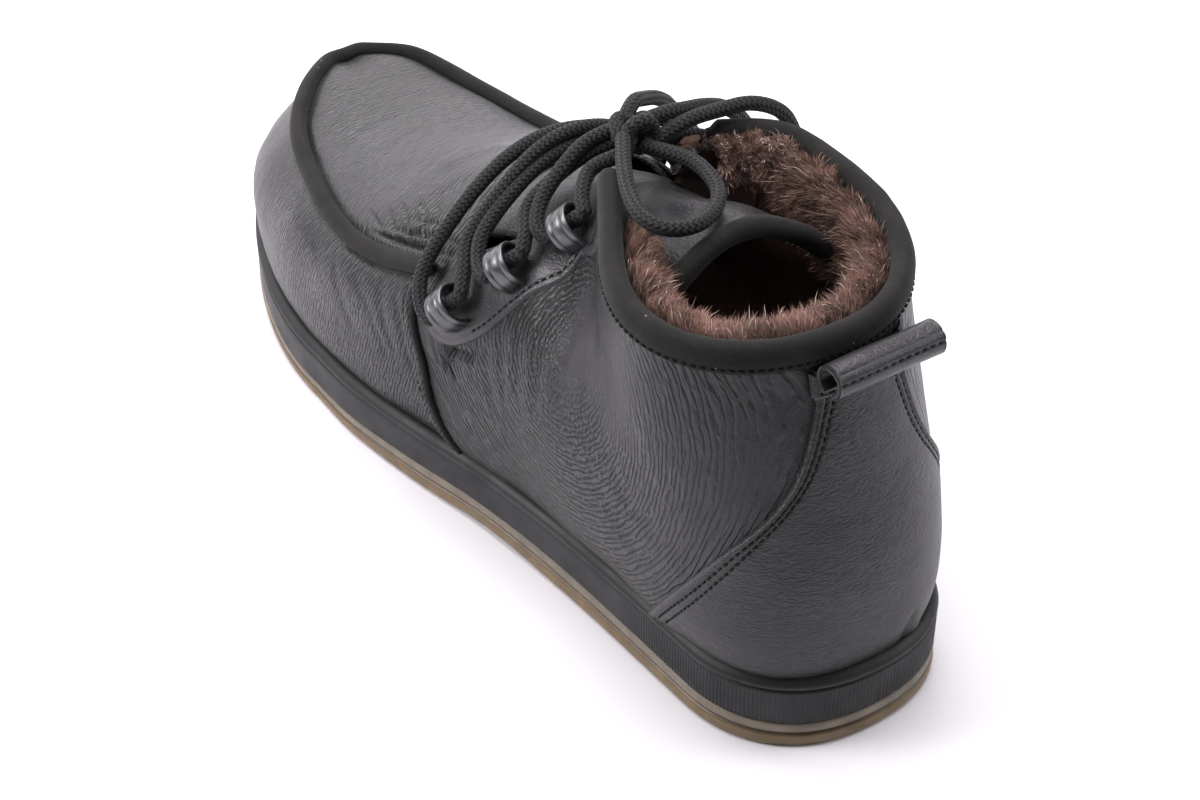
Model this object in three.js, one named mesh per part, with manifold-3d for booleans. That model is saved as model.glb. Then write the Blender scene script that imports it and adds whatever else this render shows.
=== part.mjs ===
// Left moccasin-toe winter ankle boot: leather upper on a wedge sole, fur lined, laced through metal loops.
// Millimetres. +X points to the toe, +Y to the outer side of the foot, +Z up. The back of the sole is x = 0.
import * as THREE from 'three';
import { mergeVertices } from 'three/addons/utils/BufferGeometryUtils.js';
import Module from 'manifold-3d';

const wasm = await Module();
wasm.setup();

// Clearance between pieces that touch
const GAP = 0.3;

// Plan of the sole: heel arc, waist stations, toe arcs
const SOLE_LENGTH = 304;
const HEEL = { arc: 36, half: 37.2, power: 2.26 };
const TOE_TIP_Y = -14;
const TOE = {
  outer: { sign: 1, from: 207, half: 47.9, power: 1.9 },
  inner: { sign: -1, from: 222, half: 53, power: 2.3 },
};
const WAIST = rows('x outer inner', [
  [36, 37.2, 37.2],
  [89, 38.0, 36.2],
  [128, 41.2, 36.8],
  [159, 46.1, 41.6],
  [186, 48.7, 48.0],
  [207, 47.9, 51.8],
  [222, 47.0, 53.0],
]);

// Heights of the sole's side above the ground line: rubber top, crease, joint with the upper
const SOLE_LEVELS = rows('x rubber crease joint', [
  [0, 8.0, 19.8, 23.4],
  [60, 8.8, 19.8, 23.2],
  [110, 9.2, 19.2, 22.6],
  [160, 8.0, 18.2, 21.6],
  [210, 5.8, 16.4, 20.0],
  [304, 4.6, 15.0, 18.4],
]);
const TOE_SPRING = { from: 207, rise: 15.5 };
const ARCH = { from: 92, to: 152, rise: 1.2 };
const RIB = { to: 62, pitch: 5, depth: 0.4, arc: 59 };
const TREAD = { width: 3, depth: 1.6, pitch: 11, margin: 13, heel: [20, 86], ball: [156, 206] };

// Sections of the last, toe to collar. Each plane runs from a foot point to a crest point (x, z).
// wide and ridge are half widths, their heights are shares of the way from foot to crest.
const SECTIONS = rows(
  'footX footZ crestX crestZ footY crestY wideOut wideIn wideOutAt wideInAt '
  + 'ridgeOut ridgeIn ridgeOutAt ridgeInAt base', [
    [301.8, 34, 301.8, 40, -15, -15, 2, 2, 0.5, 0.5, 1.4, 1.4, 0.85, 0.85, 2.0],
    [300.5, 28, 299.5, 47, -15, -15, 10, 10, 0.5, 0.5, 7, 7, 0.85, 0.85, 2.2],
    [296, 23, 294.5, 53.6, -15, -15, 20.5, 17.5, 0.45, 0.45, 13, 11, 0.85, 0.85, 2.6],
    [288, 20, 287, 59.4, -14.5, -14.5, 32, 24.5, 0.45, 0.45, 10, 9, 0.955, 0.953, 3.0],
    [276, 17, 275, 62.2, -13, -13, 41, 32, 0.46, 0.46, 21, 19.4, 0.957, 0.945, 3.6],
    [255, 14, 254, 64.9, -8, -8, 46.5, 42.7, 0.45, 0.45, 31.5, 29.1, 0.925, 0.886, 3.6],
    [228, 11, 226, 69.2, -5, -5, 51, 47.6, 0.44, 0.44, 39.5, 35.2, 0.874, 0.844, 3.6],
    [200, 10, 199, 77, -3, -3, 51.5, 47.4, 0.4, 0.4, 44.3, 37.4, 0.785, 0.815, 3.6],
    [172, 10, 176, 87, -1.5, -1.5, 49, 43.2, 0.36, 0.36, 44.5, 38.4, 0.727, 0.795, 3.6],
    [140, 10, 155, 97.5, 0, 0, 44, 39.5, 0.36, 0.36, 41.5, 38, 0.727, 0.82, 3.4],
    [100, 10, 139, 105, 0, 0, 42, 40, 0.4, 0.4, 37, 36, 0.75, 0.78, 3.0],
    [62, 10, 128, 110, 0, -1, 43, 42, 0.42, 0.45, 34, 36, 0.77, 0.8, 2.7],
    [28, 11, 121, 112.5, 0, -2, 43.5, 42, 0.43, 0.5, 31, 36, 0.78, 0.82, 2.7],
    [6, 20, 118, 114, 0.5, -2, 43, 42, 0.43, 0.5, 30, 37, 0.78, 0.84, 2.6],
    [2, 45, 116, 115, 1, -2, 43, 41.5, 0.42, 0.52, 28, 37, 0.78, 0.86, 2.3],
    [9, 80, 114.5, 116, 2, -2, 43, 43, 0.4, 0.55, 26, 37, 0.78, 0.88, 2.1],
    [18, 113, 113.5, 117, 2.5, -2, 41.5, 43.5, 0.36, 0.58, 24, 36, 0.77, 0.9, 2.1],
    [20, 131, 113.5, 135, 2.5, -2, 41.5, 43.5, 0.36, 0.58, 24, 36, 0.77, 0.9, 2.1],
  ]);
// Shares of a section's half, foot to crest, where it is widest and where its ridge is
const WIDE_AT = 0.36;
const RIDGE_AT = 0.66;
const AROUND = { low: 4, side: 3, top: 3 };
const SECTION_STEP = 0.5;
const LONG_STEP = { from: 4, to: 8, step: 1 };

// Walls and overlays, as distances from the outside of the upper
const WALL = 2.2;
const COUNTER_THICK = 1.3;
const FACING_THICK = 1.1;

// Collar edge of the leather: a plane that rises to the front
const COLLAR = { backX: 18, backZ: 111.5, frontX: 112, frontZ: 113 };
const COLLAR_END = { outer: 0.86, inner: 0.82 };
const BINDING = { half: 3.3, height: 9, out: 1.4, steps: 14, sides: 8, power: 2.6 };

// Throat in plan: half widths to each side of the middle
const THROAT = rows('x outer inner', [
  [152, 0, 0],
  [150, 12, -12],
  [146, 26, -26],
  [140, 34, -34],
  [125, 24.5, -24.5],
  [112, 15.5, -14],
  [104, 10, -8],
  [88, 9, -7],
]);

// Raised seam round the plug
const PIPING = { half: 2.5, height: 2.3, lift: 0.7, from: 9, to: 3.25, sides: 6, power: 2.4 };
const PIPING_LINE = rows('s outer inner', [
  [3.25, 0.7, 0.675],
  [4, 0.69, 0.667],
  [5, 0.68, 0.66],
  [7, 0.678, 0.66],
  [8, 0.683, 0.66],
  [9, 0.69, 0.66],
]);
const PIPING_TOE = rows('s a', [
  [3, 0.74],
  [2.85, 0.85],
]);
const PIPING_TIP = 2.85;

// Front edge of the heel counter: in side view low down, in back view above
const COUNTER_SIDE = rows('x z', [
  [53, 20],
  [47, 27],
  [38, 39],
  [28.5, 51.6],
  [20, 64],
  [20, 111],
]);
const COUNTER_BACK = rows('half z', [
  [60, 18],
  [60, 60],
  [36, 64],
  [30, 72],
  [23, 80],
  [18, 88],
  [15, 96],
  [12, 104],
  [12, 111],
]);

// Facings in side view
const FACING_EDGE = rows('x z', [
  [146, 66],
  [140, 60],
  [134, 61.5],
  [124, 69.5],
  [117, 79],
  [111.5, 87.5],
  [103, 101],
  [94, 112],
  [92, 130],
  [150, 130],
]);

// Tongue: its middle line, half width and how far its edges drop
const TONGUE_THICK = 2.4;
const TONGUE_POINTS = 7;
const TONGUE = rows('x z half drop', [
  [168, 87.2, 22, 7],
  [158, 92, 24, 8.5],
  [146, 97, 25, 9.5],
  [132, 102.8, 24, 9.5],
  [120, 107.4, 21, 9],
  [108, 111, 18, 8.5],
  [97, 113.6, 17, 8],
  [88, 117, 18, 8.5],
  [78, 120.6, 20, 9.5],
  [66, 121.6, 23, 11],
]);

// Lace loops: metal straps on the facings, by place along the throat
const LOOP = { half: 6.1, height: 7.9, strap: 1.2, width: 6.9, segments: 6 };
const LOOP_PLACES = rows('x z', [
  [134, 74],
  [121, 89.5],
  [109.5, 103],
]);

// Lace: strands lie this far off the upper, and the free cords run through these points
const LACE = { radius: 2.1, sides: 7, lift: 5.2, reach: [4.4, 6.8], laidStep: 7.2, freeStep: 12 };
// Turn of the lace at a loop's front and back mouth: distances along the throat and towards it
const LACE_TURN = {
  front: [[8.2, 4.6], [6.4, 11.5]],
  back: [[8.4, 4.5], [9.4, 11.5]],
  top: [[8.4, 4], [8.2, 11]],
};
const KNOT = { x: 111.5, y: 0, z: 127, halfX: 6, halfY: 7.2, halfZ: 6.2 };
const BOW_OUTER = [
  [106, -0.9, 124.5], [100, -3.4, 125], [93.8, -5.9, 125], [86.1, -5.7, 125], [77.1, -2.4, 125],
  [70.9, 4.2, 125], [68.1, 12.1, 125.5], [70.2, 18.6, 126], [76, 21.5, 126.8], [85.3, 19.3, 127.5],
  [95.8, 13.8, 128.5], [106.5, 6.5, 129.3],
];
const BOW_INNER = [
  [112.3, -5.5, 128.2], [112.3, -12, 128], [113, -18, 126.5], [114.5, -26, 124], [117, -35, 119],
  [119.5, -44, 110], [121.5, -49.5, 97], [124, -52.4, 84], [129, -53.6, 74.5], [136, -53.6, 71],
  [142, -51.9, 76], [142, -47.4, 87], [138, -41.5, 97], [132, -33, 106.5], [126, -22.5, 115],
  [121, -12.5, 121.5],
  [116, -6, 123.6],
];
const END_FRONT = [
  [115, -0.5, 129.6], [118.6, -5.5, 130.2], [123.4, -12.5, 126.5], [128.8, -20.8, 121.1], [135.5, -30, 112.4],
  [142.5, -37.6, 101.2], [149.3, -43.6, 90], [154.3, -47.5, 78.7], [157.5, -50, 68],
];
const END_BACK = [
  [108.6, -4.5, 123.4], [108, -15, 126.3], [107.5, -25, 126.3], [106.5, -36, 125.2], [105.5, -46, 119],
  [105, -51, 108], [105, -52.6, 95], [105, -52.5, 82], [105.3, -51.6, 70],
];

// Pull tab: a rolled tube across the back of the collar, with a sewn tail below it
const TAB = { x: 10.8, y: -2, z: 112.6, radius: 4.6, bore: 2.9, length: 33, segments: 8 };
const TAB_TAIL = { low: 104, high: 111, thick: 1.2 };

// Fur: a ring inside the collar with locks round its upper edge
const FUR = { depth: 13, low: 82, front: 106, end: 0.78, rise: 5 };
const LOCK = { count: 7, radius: 3.8, height: 10, sides: 4 };

const COLORS = {
  leather: { color: 0x2b2b2e, roughness: 0.55, metalness: 0 },
  suede: { color: 0x1c1b1a, roughness: 0.9, metalness: 0 },
  black: { color: 0x1d1e20, roughness: 0.6, metalness: 0 },
  amber: { color: 0xa98350, roughness: 0.4, metalness: 0 },
  fur: { color: 0x7a5340, roughness: 0.95, metalness: 0 },
  felt: { color: 0x3a2a22, roughness: 0.9, metalness: 0 },
  metal: { color: 0x6d6e70, roughness: 0.3, metalness: 1 },
  lace: { color: 0x18181a, roughness: 0.85, metalness: 0 },
};

// Tables with named columns
function rows(names, lines) {
  const columns = names.split(' ');
  return lines.map((line) => Object.fromEntries(columns.map((name, i) => [name, line[i]])));
}

// Smooth value of a column at a place along another column
function along(table, key, at, name) {
  const last = table.length - 1;
  let i = 0;
  while (i < last - 1 && at > table[i + 1][key]) i += 1;
  const [a, b] = [table[i], table[i + 1]];
  const [before, after] = [table[Math.max(i - 1, 0)], table[Math.min(i + 2, last)]];
  const span = b[key] - a[key];
  const t = THREE.MathUtils.clamp((at - a[key]) / span, 0, 1);
  const slopeA = (b[name] - before[name]) / (b[key] - before[key]);
  const slopeB = (after[name] - a[name]) / (after[key] - a[key]);
  return hermite(a[name], slopeA * span, b[name], slopeB * span, t);
}

function hermite(p, mp, q, mq, t) {
  const [t2, t3] = [t * t, t * t * t];
  return p * (2 * t3 - 3 * t2 + 1) + mp * (t3 - 2 * t2 + t) + q * (3 * t2 - 2 * t3) + mq * (t3 - t2);
}

// Closed meshes and solids
function solid(points, triangles) {
  let volume = 0;
  for (const [a, b, c] of triangles) volume += points[a].dot(points[b].clone().cross(points[c]));
  const order = volume < 0 ? triangles.map(([a, b, c]) => [a, c, b]) : triangles;
  const vertProperties = new Float32Array(points.flatMap((p) => [p.x, p.y, p.z]));
  const triVerts = new Uint32Array(order.flat());
  return new wasm.Manifold(new wasm.Mesh({ numProp: 3, vertProperties, triVerts }));
}

function solidOf(geometry) {
  geometry.deleteAttribute('normal');
  geometry.deleteAttribute('uv');
  const merged = mergeVertices(geometry, 1e-4);
  const p = merged.attributes.position;
  const points = Array.from({ length: p.count }, (_, i) => new THREE.Vector3().fromBufferAttribute(p, i));
  const flat = Array.from(merged.index.array);
  const triangles = [];
  for (let i = 0; i < flat.length; i += 3) {
    const [a, b, c] = flat.slice(i, i + 3);
    if (a !== b && b !== c && c !== a) triangles.push([a, b, c]);
  }
  return solid(points, triangles);
}

// Skin over rings of equal count, closed round each ring and capped at both ends
function loft(rings) {
  const count = rings[0].length;
  const points = rings.flat();
  const triangles = [];
  for (let r = 0; r + 1 < rings.length; r += 1) {
    for (let i = 0; i < count; i += 1) {
      const j = (i + 1) % count;
      const [a, b] = [r * count + i, r * count + j];
      triangles.push([a, b, b + count], [a, b + count, a + count]);
    }
  }
  for (const [start, flip] of [[0, true], [(rings.length - 1) * count, false]]) {
    const centre = points.length;
    const middle = new THREE.Vector3();
    for (let i = 0; i < count; i += 1) middle.addScaledVector(points[start + i], 1 / count);
    points.push(middle);
    for (let i = 0; i < count; i += 1) {
      const j = (i + 1) % count;
      triangles.push(flip ? [start + j, start + i, centre] : [start + i, start + j, centre]);
    }
  }
  return solid(points, triangles);
}

// Prism of an outline (pairs) along Z, or along Y for outlines in x and z
function prismZ(outline, low, high) {
  const shape = new THREE.Shape(outline.map(([x, y]) => new THREE.Vector2(x, y)));
  const geometry = new THREE.ExtrudeGeometry(shape, { depth: high - low, bevelEnabled: false });
  geometry.translate(0, 0, low);
  return solidOf(geometry);
}

function prismY(outline, low, high) {
  const shape = new THREE.Shape(outline.map(([x, z]) => new THREE.Vector2(x, z)));
  const geometry = new THREE.ExtrudeGeometry(shape, { depth: high - low, bevelEnabled: false });
  geometry.rotateX(Math.PI / 2);
  geometry.translate(0, high, 0);
  return solidOf(geometry);
}

function prismX(outline, low, high) {
  const shape = new THREE.Shape(outline.map(([y, z]) => new THREE.Vector2(y, z)));
  const geometry = new THREE.ExtrudeGeometry(shape, { depth: high - low, bevelEnabled: false });
  geometry.rotateX(Math.PI / 2);
  geometry.rotateZ(Math.PI / 2);
  geometry.translate(low, 0, 0);
  return solidOf(geometry);
}

const assembly = new THREE.Group();

function addPiece(name, shape, look, parent = assembly) {
  const mesh = shape.getMesh();
  const geometry = new THREE.BufferGeometry();
  geometry.setAttribute('position', new THREE.BufferAttribute(new Float32Array(mesh.vertProperties), 3));
  geometry.setIndex(new THREE.BufferAttribute(new Uint32Array(mesh.triVerts), 1));
  geometry.computeVertexNormals();
  const piece = new THREE.Mesh(geometry, new THREE.MeshStandardMaterial(COLORS[look]));
  piece.name = name;
  parent.add(piece);
  return piece;
}

// Sole
function spring(x) {
  const share = Math.max(0, (x - TOE_SPRING.from) / (SOLE_LENGTH - TOE_SPRING.from));
  return TOE_SPRING.rise * share ** 2;
}

function ground(x) {
  const share = THREE.MathUtils.clamp((x - ARCH.from) / (ARCH.to - ARCH.from), 0, 1);
  return spring(x) + ARCH.rise * Math.sin(Math.PI * share) ** 2;
}

function level(x, name) {
  return spring(x) + along(SOLE_LEVELS, 'x', x, name);
}

// Edge of the sole: u runs 0 to 1 round the heel, 1 to 2 along the waist, 2 to 3 round the toe
function soleEdge(side, u) {
  const toe = TOE[side];
  if (u <= 1) {
    const turn = (u * Math.PI) / 2;
    const x = HEEL.arc * (1 - Math.cos(turn) ** (2 / HEEL.power));
    return new THREE.Vector2(x, toe.sign * HEEL.half * Math.sin(turn) ** (2 / HEEL.power));
  }
  if (u <= 2) {
    const x = THREE.MathUtils.lerp(HEEL.arc, toe.from, u - 1);
    return new THREE.Vector2(x, toe.sign * along(WAIST, 'x', x, side));
  }
  const turn = ((u - 2) * Math.PI) / 2;
  const reach = Math.sin(turn) ** (2 / toe.power);
  const width = Math.max(0, Math.cos(turn)) ** (2 / toe.power);
  const y = TOE_TIP_Y + (toe.sign * toe.half - TOE_TIP_Y) * width;
  return new THREE.Vector2(toe.from + (SOLE_LENGTH - toe.from) * reach, y);
}

function soleSteps(heel, waist, toe) {
  const steps = [];
  for (let i = 0; i < heel; i += 1) steps.push(i / heel);
  for (let i = 0; i < waist; i += 1) steps.push(1 + i / waist);
  for (let i = 0; i <= toe; i += 1) steps.push(2 + i / toe);
  return steps;
}

// Closed solid from levels of the sole's edge: each level has an outward offset and a height at x
function soleSolid(steps, levels) {
  const outer = steps.map((u) => soleEdge('outer', u));
  const inner = steps.slice(1, -1).map((u) => soleEdge('inner', u)).reverse();
  const edge = [...outer, ...inner];
  const count = edge.length;
  const points = [];
  for (const { out, z } of levels) {
    edge.forEach((p, i) => {
      const run = edge[(i + 1) % count].clone().sub(edge[(i + count - 1) % count]).normalize();
      const shift = typeof out === 'function' ? out(p, i) : out;
      const q = new THREE.Vector2(p.x - run.y * shift, p.y + run.x * shift);
      points.push(new THREE.Vector3(q.x, q.y, z(q.x)));
    });
  }
  const triangles = [];
  for (let l = 0; l + 1 < levels.length; l += 1) {
    for (let i = 0; i < count; i += 1) {
      const j = (i + 1) % count;
      const [a, b] = [l * count + i, l * count + j];
      triangles.push([a, b + count, b], [a, a + count, b + count]);
    }
  }
  const top = (levels.length - 1) * count;
  const across = (i) => (i === 0 ? 0 : count - i);
  for (let i = 0; i + 1 < outer.length; i += 1) {
    for (const [start, up] of [[0, false], [top, true]]) {
      const [a, b] = [start + i, start + i + 1];
      const [c, d] = [start + across(i), start + across(i + 1)];
      if (b !== d) triangles.push(up ? [a, d, b] : [a, b, d]);
      if (a !== c) triangles.push(up ? [a, c, d] : [a, d, c]);
    }
  }
  return solid(points, triangles);
}

function makeOutsole() {
  const at = (share) => (x) => THREE.MathUtils.lerp(ground(x), level(x, 'rubber'), share);
  let outsole = soleSolid(soleSteps(9, 11, 10), [
    { out: -1.4, z: ground },
    { out: 0.1, z: at(0.16) },
    { out: 0.1, z: at(0.5) },
    { out: -0.8, z: at(0.57) },
    { out: -0.1, z: at(0.65) },
    { out: -0.2, z: at(1) },
  ]);
  for (const [from, to] of [TREAD.heel, TREAD.ball]) {
    for (let x = from; x <= to; x += TREAD.pitch) {
      const high = along(WAIST, 'x', Math.max(x, HEEL.arc), 'outer') - TREAD.margin;
      const low = TREAD.margin - along(WAIST, 'x', Math.max(x, HEEL.arc), 'inner');
      const groove = new THREE.BoxGeometry(TREAD.width, high - low, 2 * TREAD.depth);
      groove.translate(x, (high + low) / 2, ground(x));
      outsole = outsole.subtract(solidOf(groove));
    }
  }
  return outsole;
}

function ribSteps() {
  const steps = [];
  const turns = Math.round(RIB.arc / (RIB.pitch / 2));
  for (let i = 0; i < turns; i += 1) steps.push(i / turns);
  const waistRun = TOE.outer.from - HEEL.arc;
  const ribs = Math.round((RIB.to - HEEL.arc) / (RIB.pitch / 2));
  for (let i = 0; i < ribs; i += 1) steps.push(1 + (i * RIB.pitch) / 2 / waistRun);
  const from = 1 + (RIB.to - HEEL.arc) / waistRun;
  const [waist, toe] = [11, 10];
  for (let i = 0; i < waist; i += 1) steps.push(THREE.MathUtils.lerp(from, 2, i / waist));
  for (let i = 0; i <= toe; i += 1) steps.push(2 + i / toe);
  return steps;
}

function makeMidsole() {
  const rib = (base) => (p, i) => (p.x < RIB.to ? base + RIB.depth * (i % 2 === 0 ? 0 : -1) : base);
  const under = (name, drop) => (x) => level(x, name) - drop;
  return soleSolid(ribSteps(), [
    { out: rib(0), z: under('rubber', -GAP) },
    { out: rib(0.2), z: under('crease', 0.5) },
    { out: -0.7, z: under('crease', 0) },
    { out: 0.2, z: under('crease', -0.6) },
    { out: -0.6, z: under('joint', 1.1) },
    { out: -2.6, z: under('joint', 0) },
  ]);
}

function makeInsole() {
  return soleSolid(soleSteps(8, 8, 8), [
    { out: -10.2, z: (x) => level(x, 'joint') + 2 * GAP },
    { out: -10.2, z: (x) => level(x, 'joint') + 3.2 },
  ]);
}

// Everything below the joint of sole and upper
function belowJoint(clearance) {
  return soleSolid(soleSteps(8, 10, 10), [
    { out: 18, z: () => -20 },
    { out: 18, z: (x) => level(x, 'joint') + clearance },
  ]);
}

// The last: section values at s, a point on one side at share a of the half section, and its normal
const SECTION_NAMES = Object.keys(SECTIONS[0]);

function section(s) {
  const last = SECTIONS.length - 1;
  const i = Math.min(Math.max(Math.floor(s), 0), last - 1);
  const t = s - i;
  const pick = (k) => SECTIONS[Math.min(Math.max(k, 0), last)];
  const [a, b, c, d] = [pick(i - 1), pick(i), pick(i + 1), pick(i + 2)];
  const value = (name) => hermite(b[name], (c[name] - a[name]) / 2, c[name], (d[name] - b[name]) / 2, t);
  return Object.fromEntries(SECTION_NAMES.map((name) => [name, value(name)]));
}

function halfSection(row, side, a) {
  const [wide, wideAt, ridge, ridgeAt] = side === 'outer'
    ? [row.wideOut, row.wideOutAt, row.ridgeOut, row.ridgeOutAt]
    : [row.wideIn, row.wideInAt, row.ridgeIn, row.ridgeInAt];
  if (a <= WIDE_AT) {
    const turn = ((a / WIDE_AT) * Math.PI) / 2;
    const half = wide * Math.sin(turn) ** (2 / row.base);
    return [half, wideAt * (1 - Math.max(0, Math.cos(turn)) ** (2 / row.base))];
  }
  const [slopeHalf, slopeRise] = [-0.55 * wide, 0.55 * (1 - wideAt)];
  if (a <= RIDGE_AT) {
    const t = (a - WIDE_AT) / (RIDGE_AT - WIDE_AT);
    const rise = hermite(wideAt, 1.11 * (ridgeAt - wideAt), ridgeAt, slopeRise, t);
    return [hermite(wide, 0, ridge, slopeHalf, t), rise];
  }
  const t = (a - RIDGE_AT) / (1 - RIDGE_AT);
  return [hermite(ridge, slopeHalf, 0, -1.11 * ridge, t), hermite(ridgeAt, slopeRise, 1, 0, t)];
}

function lastPoint(s, side, a) {
  const row = section(s);
  const [half, rise] = halfSection(row, side, a);
  const x = THREE.MathUtils.lerp(row.footX, row.crestX, rise);
  const z = THREE.MathUtils.lerp(row.footZ, row.crestZ, rise);
  const middle = THREE.MathUtils.lerp(row.footY, row.crestY, rise);
  return new THREE.Vector3(x, middle + TOE[side].sign * half, z);
}

function lastNormal(s, side, a) {
  const top = SECTIONS.length - 1;
  const [s0, s1] = [Math.max(s - 0.02, 0), Math.min(s + 0.02, top)];
  const [a0, a1] = [Math.max(a - 0.01, 0), Math.min(a + 0.01, 1)];
  const run = lastPoint(s1, side, a).sub(lastPoint(s0, side, a));
  const rise = lastPoint(s, side, a1).sub(lastPoint(s, side, a0));
  const normal = side === 'outer' ? run.cross(rise) : rise.cross(run);
  return normal.normalize();
}

function offLast(s, side, a, distance) {
  return lastPoint(s, side, a).addScaledVector(lastNormal(s, side, a), distance);
}

function sharesAround() {
  const shares = [];
  for (let i = 0; i < AROUND.low; i += 1) shares.push((WIDE_AT * i) / AROUND.low);
  for (let i = 0; i < AROUND.side; i += 1) shares.push(WIDE_AT + ((RIDGE_AT - WIDE_AT) * i) / AROUND.side);
  for (let i = 0; i <= AROUND.top; i += 1) shares.push(RIDGE_AT + ((1 - RIDGE_AT) * i) / AROUND.top);
  return shares;
}

function stationStep(s) {
  return s >= LONG_STEP.from && s < LONG_STEP.to ? LONG_STEP.step : SECTION_STEP;
}

// Closed solid of the last, grown or shrunk by a distance
function lastForm(distance, from = 0, step = stationStep) {
  const shares = sharesAround();
  const rings = [];
  for (let s = from; s <= SECTIONS.length - 1; s += step(s)) {
    const outer = shares.map((a) => offLast(s, 'outer', a, distance));
    const inner = shares.slice(1, -1).map((a) => offLast(s, 'inner', a, distance)).reverse();
    rings.push([...outer, ...inner]);
  }
  return loft(rings);
}

// Everything above the collar plane, moved up by a distance
function aboveCollar(lift) {
  const slope = (COLLAR.frontZ - COLLAR.backZ) / (COLLAR.frontX - COLLAR.backX);
  const z = (x) => COLLAR.backZ + slope * (x - COLLAR.backX) + lift;
  return prismY([[-40, z(-40)], [260, z(260)], [260, 320], [-40, 320]], -90, 90);
}

function throatPrism(grow) {
  const outer = THROAT.map(({ x, outer: y }) => [x + (y < 13 ? 0 : grow), y + grow]);
  const inner = THROAT.slice(1).map(({ x, inner: y }) => [x + (y > -13 ? 0 : grow), y - grow]).reverse();
  return prismZ([...inner, ...outer], 60, 220);
}

const sole = belowJoint(GAP);
const above = aboveCollar(0);
const skin = lastForm(0);

function makeUpper() {
  return skin.subtract(lastForm(-WALL, 1)).subtract(sole).subtract(above).subtract(throatPrism(0));
}

// The upper's wall with a clearance all round, to trim what lies against it
function wallClear() {
  const wall = lastForm(FACING_THICK + 2 * GAP).subtract(lastForm(-WALL - GAP, 1));
  return wall.subtract(throatPrism(-GAP)).subtract(aboveCollar(GAP));
}

// A shell on the outside of the upper
function overlay(thickness) {
  return lastForm(GAP + thickness).subtract(lastForm(GAP)).subtract(sole).subtract(aboveCollar(-GAP));
}

function makeCounter() {
  const side = COUNTER_SIDE.map(({ x, z }) => [x, z]);
  const back = COUNTER_BACK.map(({ half, z }) => [half, z]);
  const mirrored = back.map(([half, z]) => [-half, z]).reverse();
  const shell = overlay(COUNTER_THICK).intersect(prismY([...side, [-30, 111], [-30, 20]], -70, 70));
  return shell.intersect(prismX([...back, ...mirrored], -30, 70));
}

function makeFacing(side) {
  const outline = FACING_EDGE.map(({ x, z }) => [x, z]);
  const [low, high] = side === 'outer' ? [4, 80] : [-80, -4];
  const shell = overlay(FACING_THICK).subtract(throatPrism(0)).subtract(pipingSweep(2 * GAP));
  return shell.intersect(prismY(outline, low, high));
}

// Sweep of a flat section along frames: each frame has a point and two directions
function sweep(frames, outline) {
  const place = ({ point, out, up, scale = 1 }) => outline.map(([o, h]) => point.clone()
    .addScaledVector(out, o * scale).addScaledVector(up, h * scale));
  return loft(frames.map(place));
}

function oval(halfWidth, halfHeight, sides, power) {
  return Array.from({ length: sides }, (_, i) => {
    const turn = ((i + 0.5) / sides) * 2 * Math.PI;
    const [c, s] = [Math.cos(turn), Math.sin(turn)];
    const round = (v) => Math.sign(v) * Math.abs(v) ** (2 / power);
    return [halfWidth * round(c), halfHeight * round(s)];
  });
}

function pipingSweep(grow) {
  const stations = [PIPING.from + 0.05 * grow];
  for (let s = PIPING.to; s < PIPING.from; s += stationStep(s)) stations.splice(1, 0, s);
  const side = (name) => stations.map((s) => [s, name, along(PIPING_LINE, 's', s, name)]);
  const places = side('outer');
  places.push(...PIPING_TOE.map(({ s, a }) => [s, 'outer', a]));
  places.push([PIPING_TIP, 'outer', 1]);
  places.push(...PIPING_TOE.map(({ s, a }) => [s, 'inner', a]).reverse());
  places.push(...side('inner').reverse());
  const points = places.map((place) => lastPoint(...place));
  const frames = places.map((place, i) => {
    const next = points[Math.min(i + 1, points.length - 1)];
    const run = next.clone().sub(points[Math.max(i - 1, 0)]).normalize();
    const up = lastNormal(...place);
    const out = up.clone().cross(run).normalize();
    return { point: points[i].clone().addScaledVector(up, PIPING.lift), out, up };
  });
  return sweep(frames, oval(PIPING.half + grow, PIPING.height + grow, PIPING.sides, PIPING.power));
}

function makePiping() {
  return pipingSweep(0).subtract(lastForm(GAP));
}

// Point of the collar edge at share a of one side
function collarPlace(side, a) {
  const slope = (COLLAR.frontZ - COLLAR.backZ) / (COLLAR.frontX - COLLAR.backX);
  const high = (p) => p.z - COLLAR.backZ - slope * (p.x - COLLAR.backX);
  let [low, top] = [12, SECTIONS.length - 1];
  for (let i = 0; i < 30; i += 1) {
    const middle = (low + top) / 2;
    if (high(lastPoint(middle, side, a)) < 0) low = middle;
    else top = middle;
  }
  const out = lastNormal(low, side, a).setZ(0).normalize();
  return { point: lastPoint(low, side, a), out, up: new THREE.Vector3(0, 0, 1) };
}

function makeBinding() {
  const frames = [];
  for (let i = -BINDING.steps; i <= BINDING.steps; i += 1) {
    const side = i < 0 ? 'outer' : 'inner';
    frames.push(collarPlace(side, (COLLAR_END[side] * Math.abs(i)) / BINDING.steps));
  }
  const outline = oval(BINDING.half, BINDING.height / 2, BINDING.sides, BINDING.power)
    .map(([o, h]) => [o + BINDING.out - BINDING.half, h + BINDING.height / 2 + GAP]);
  return sweep(frames, outline);
}

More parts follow.
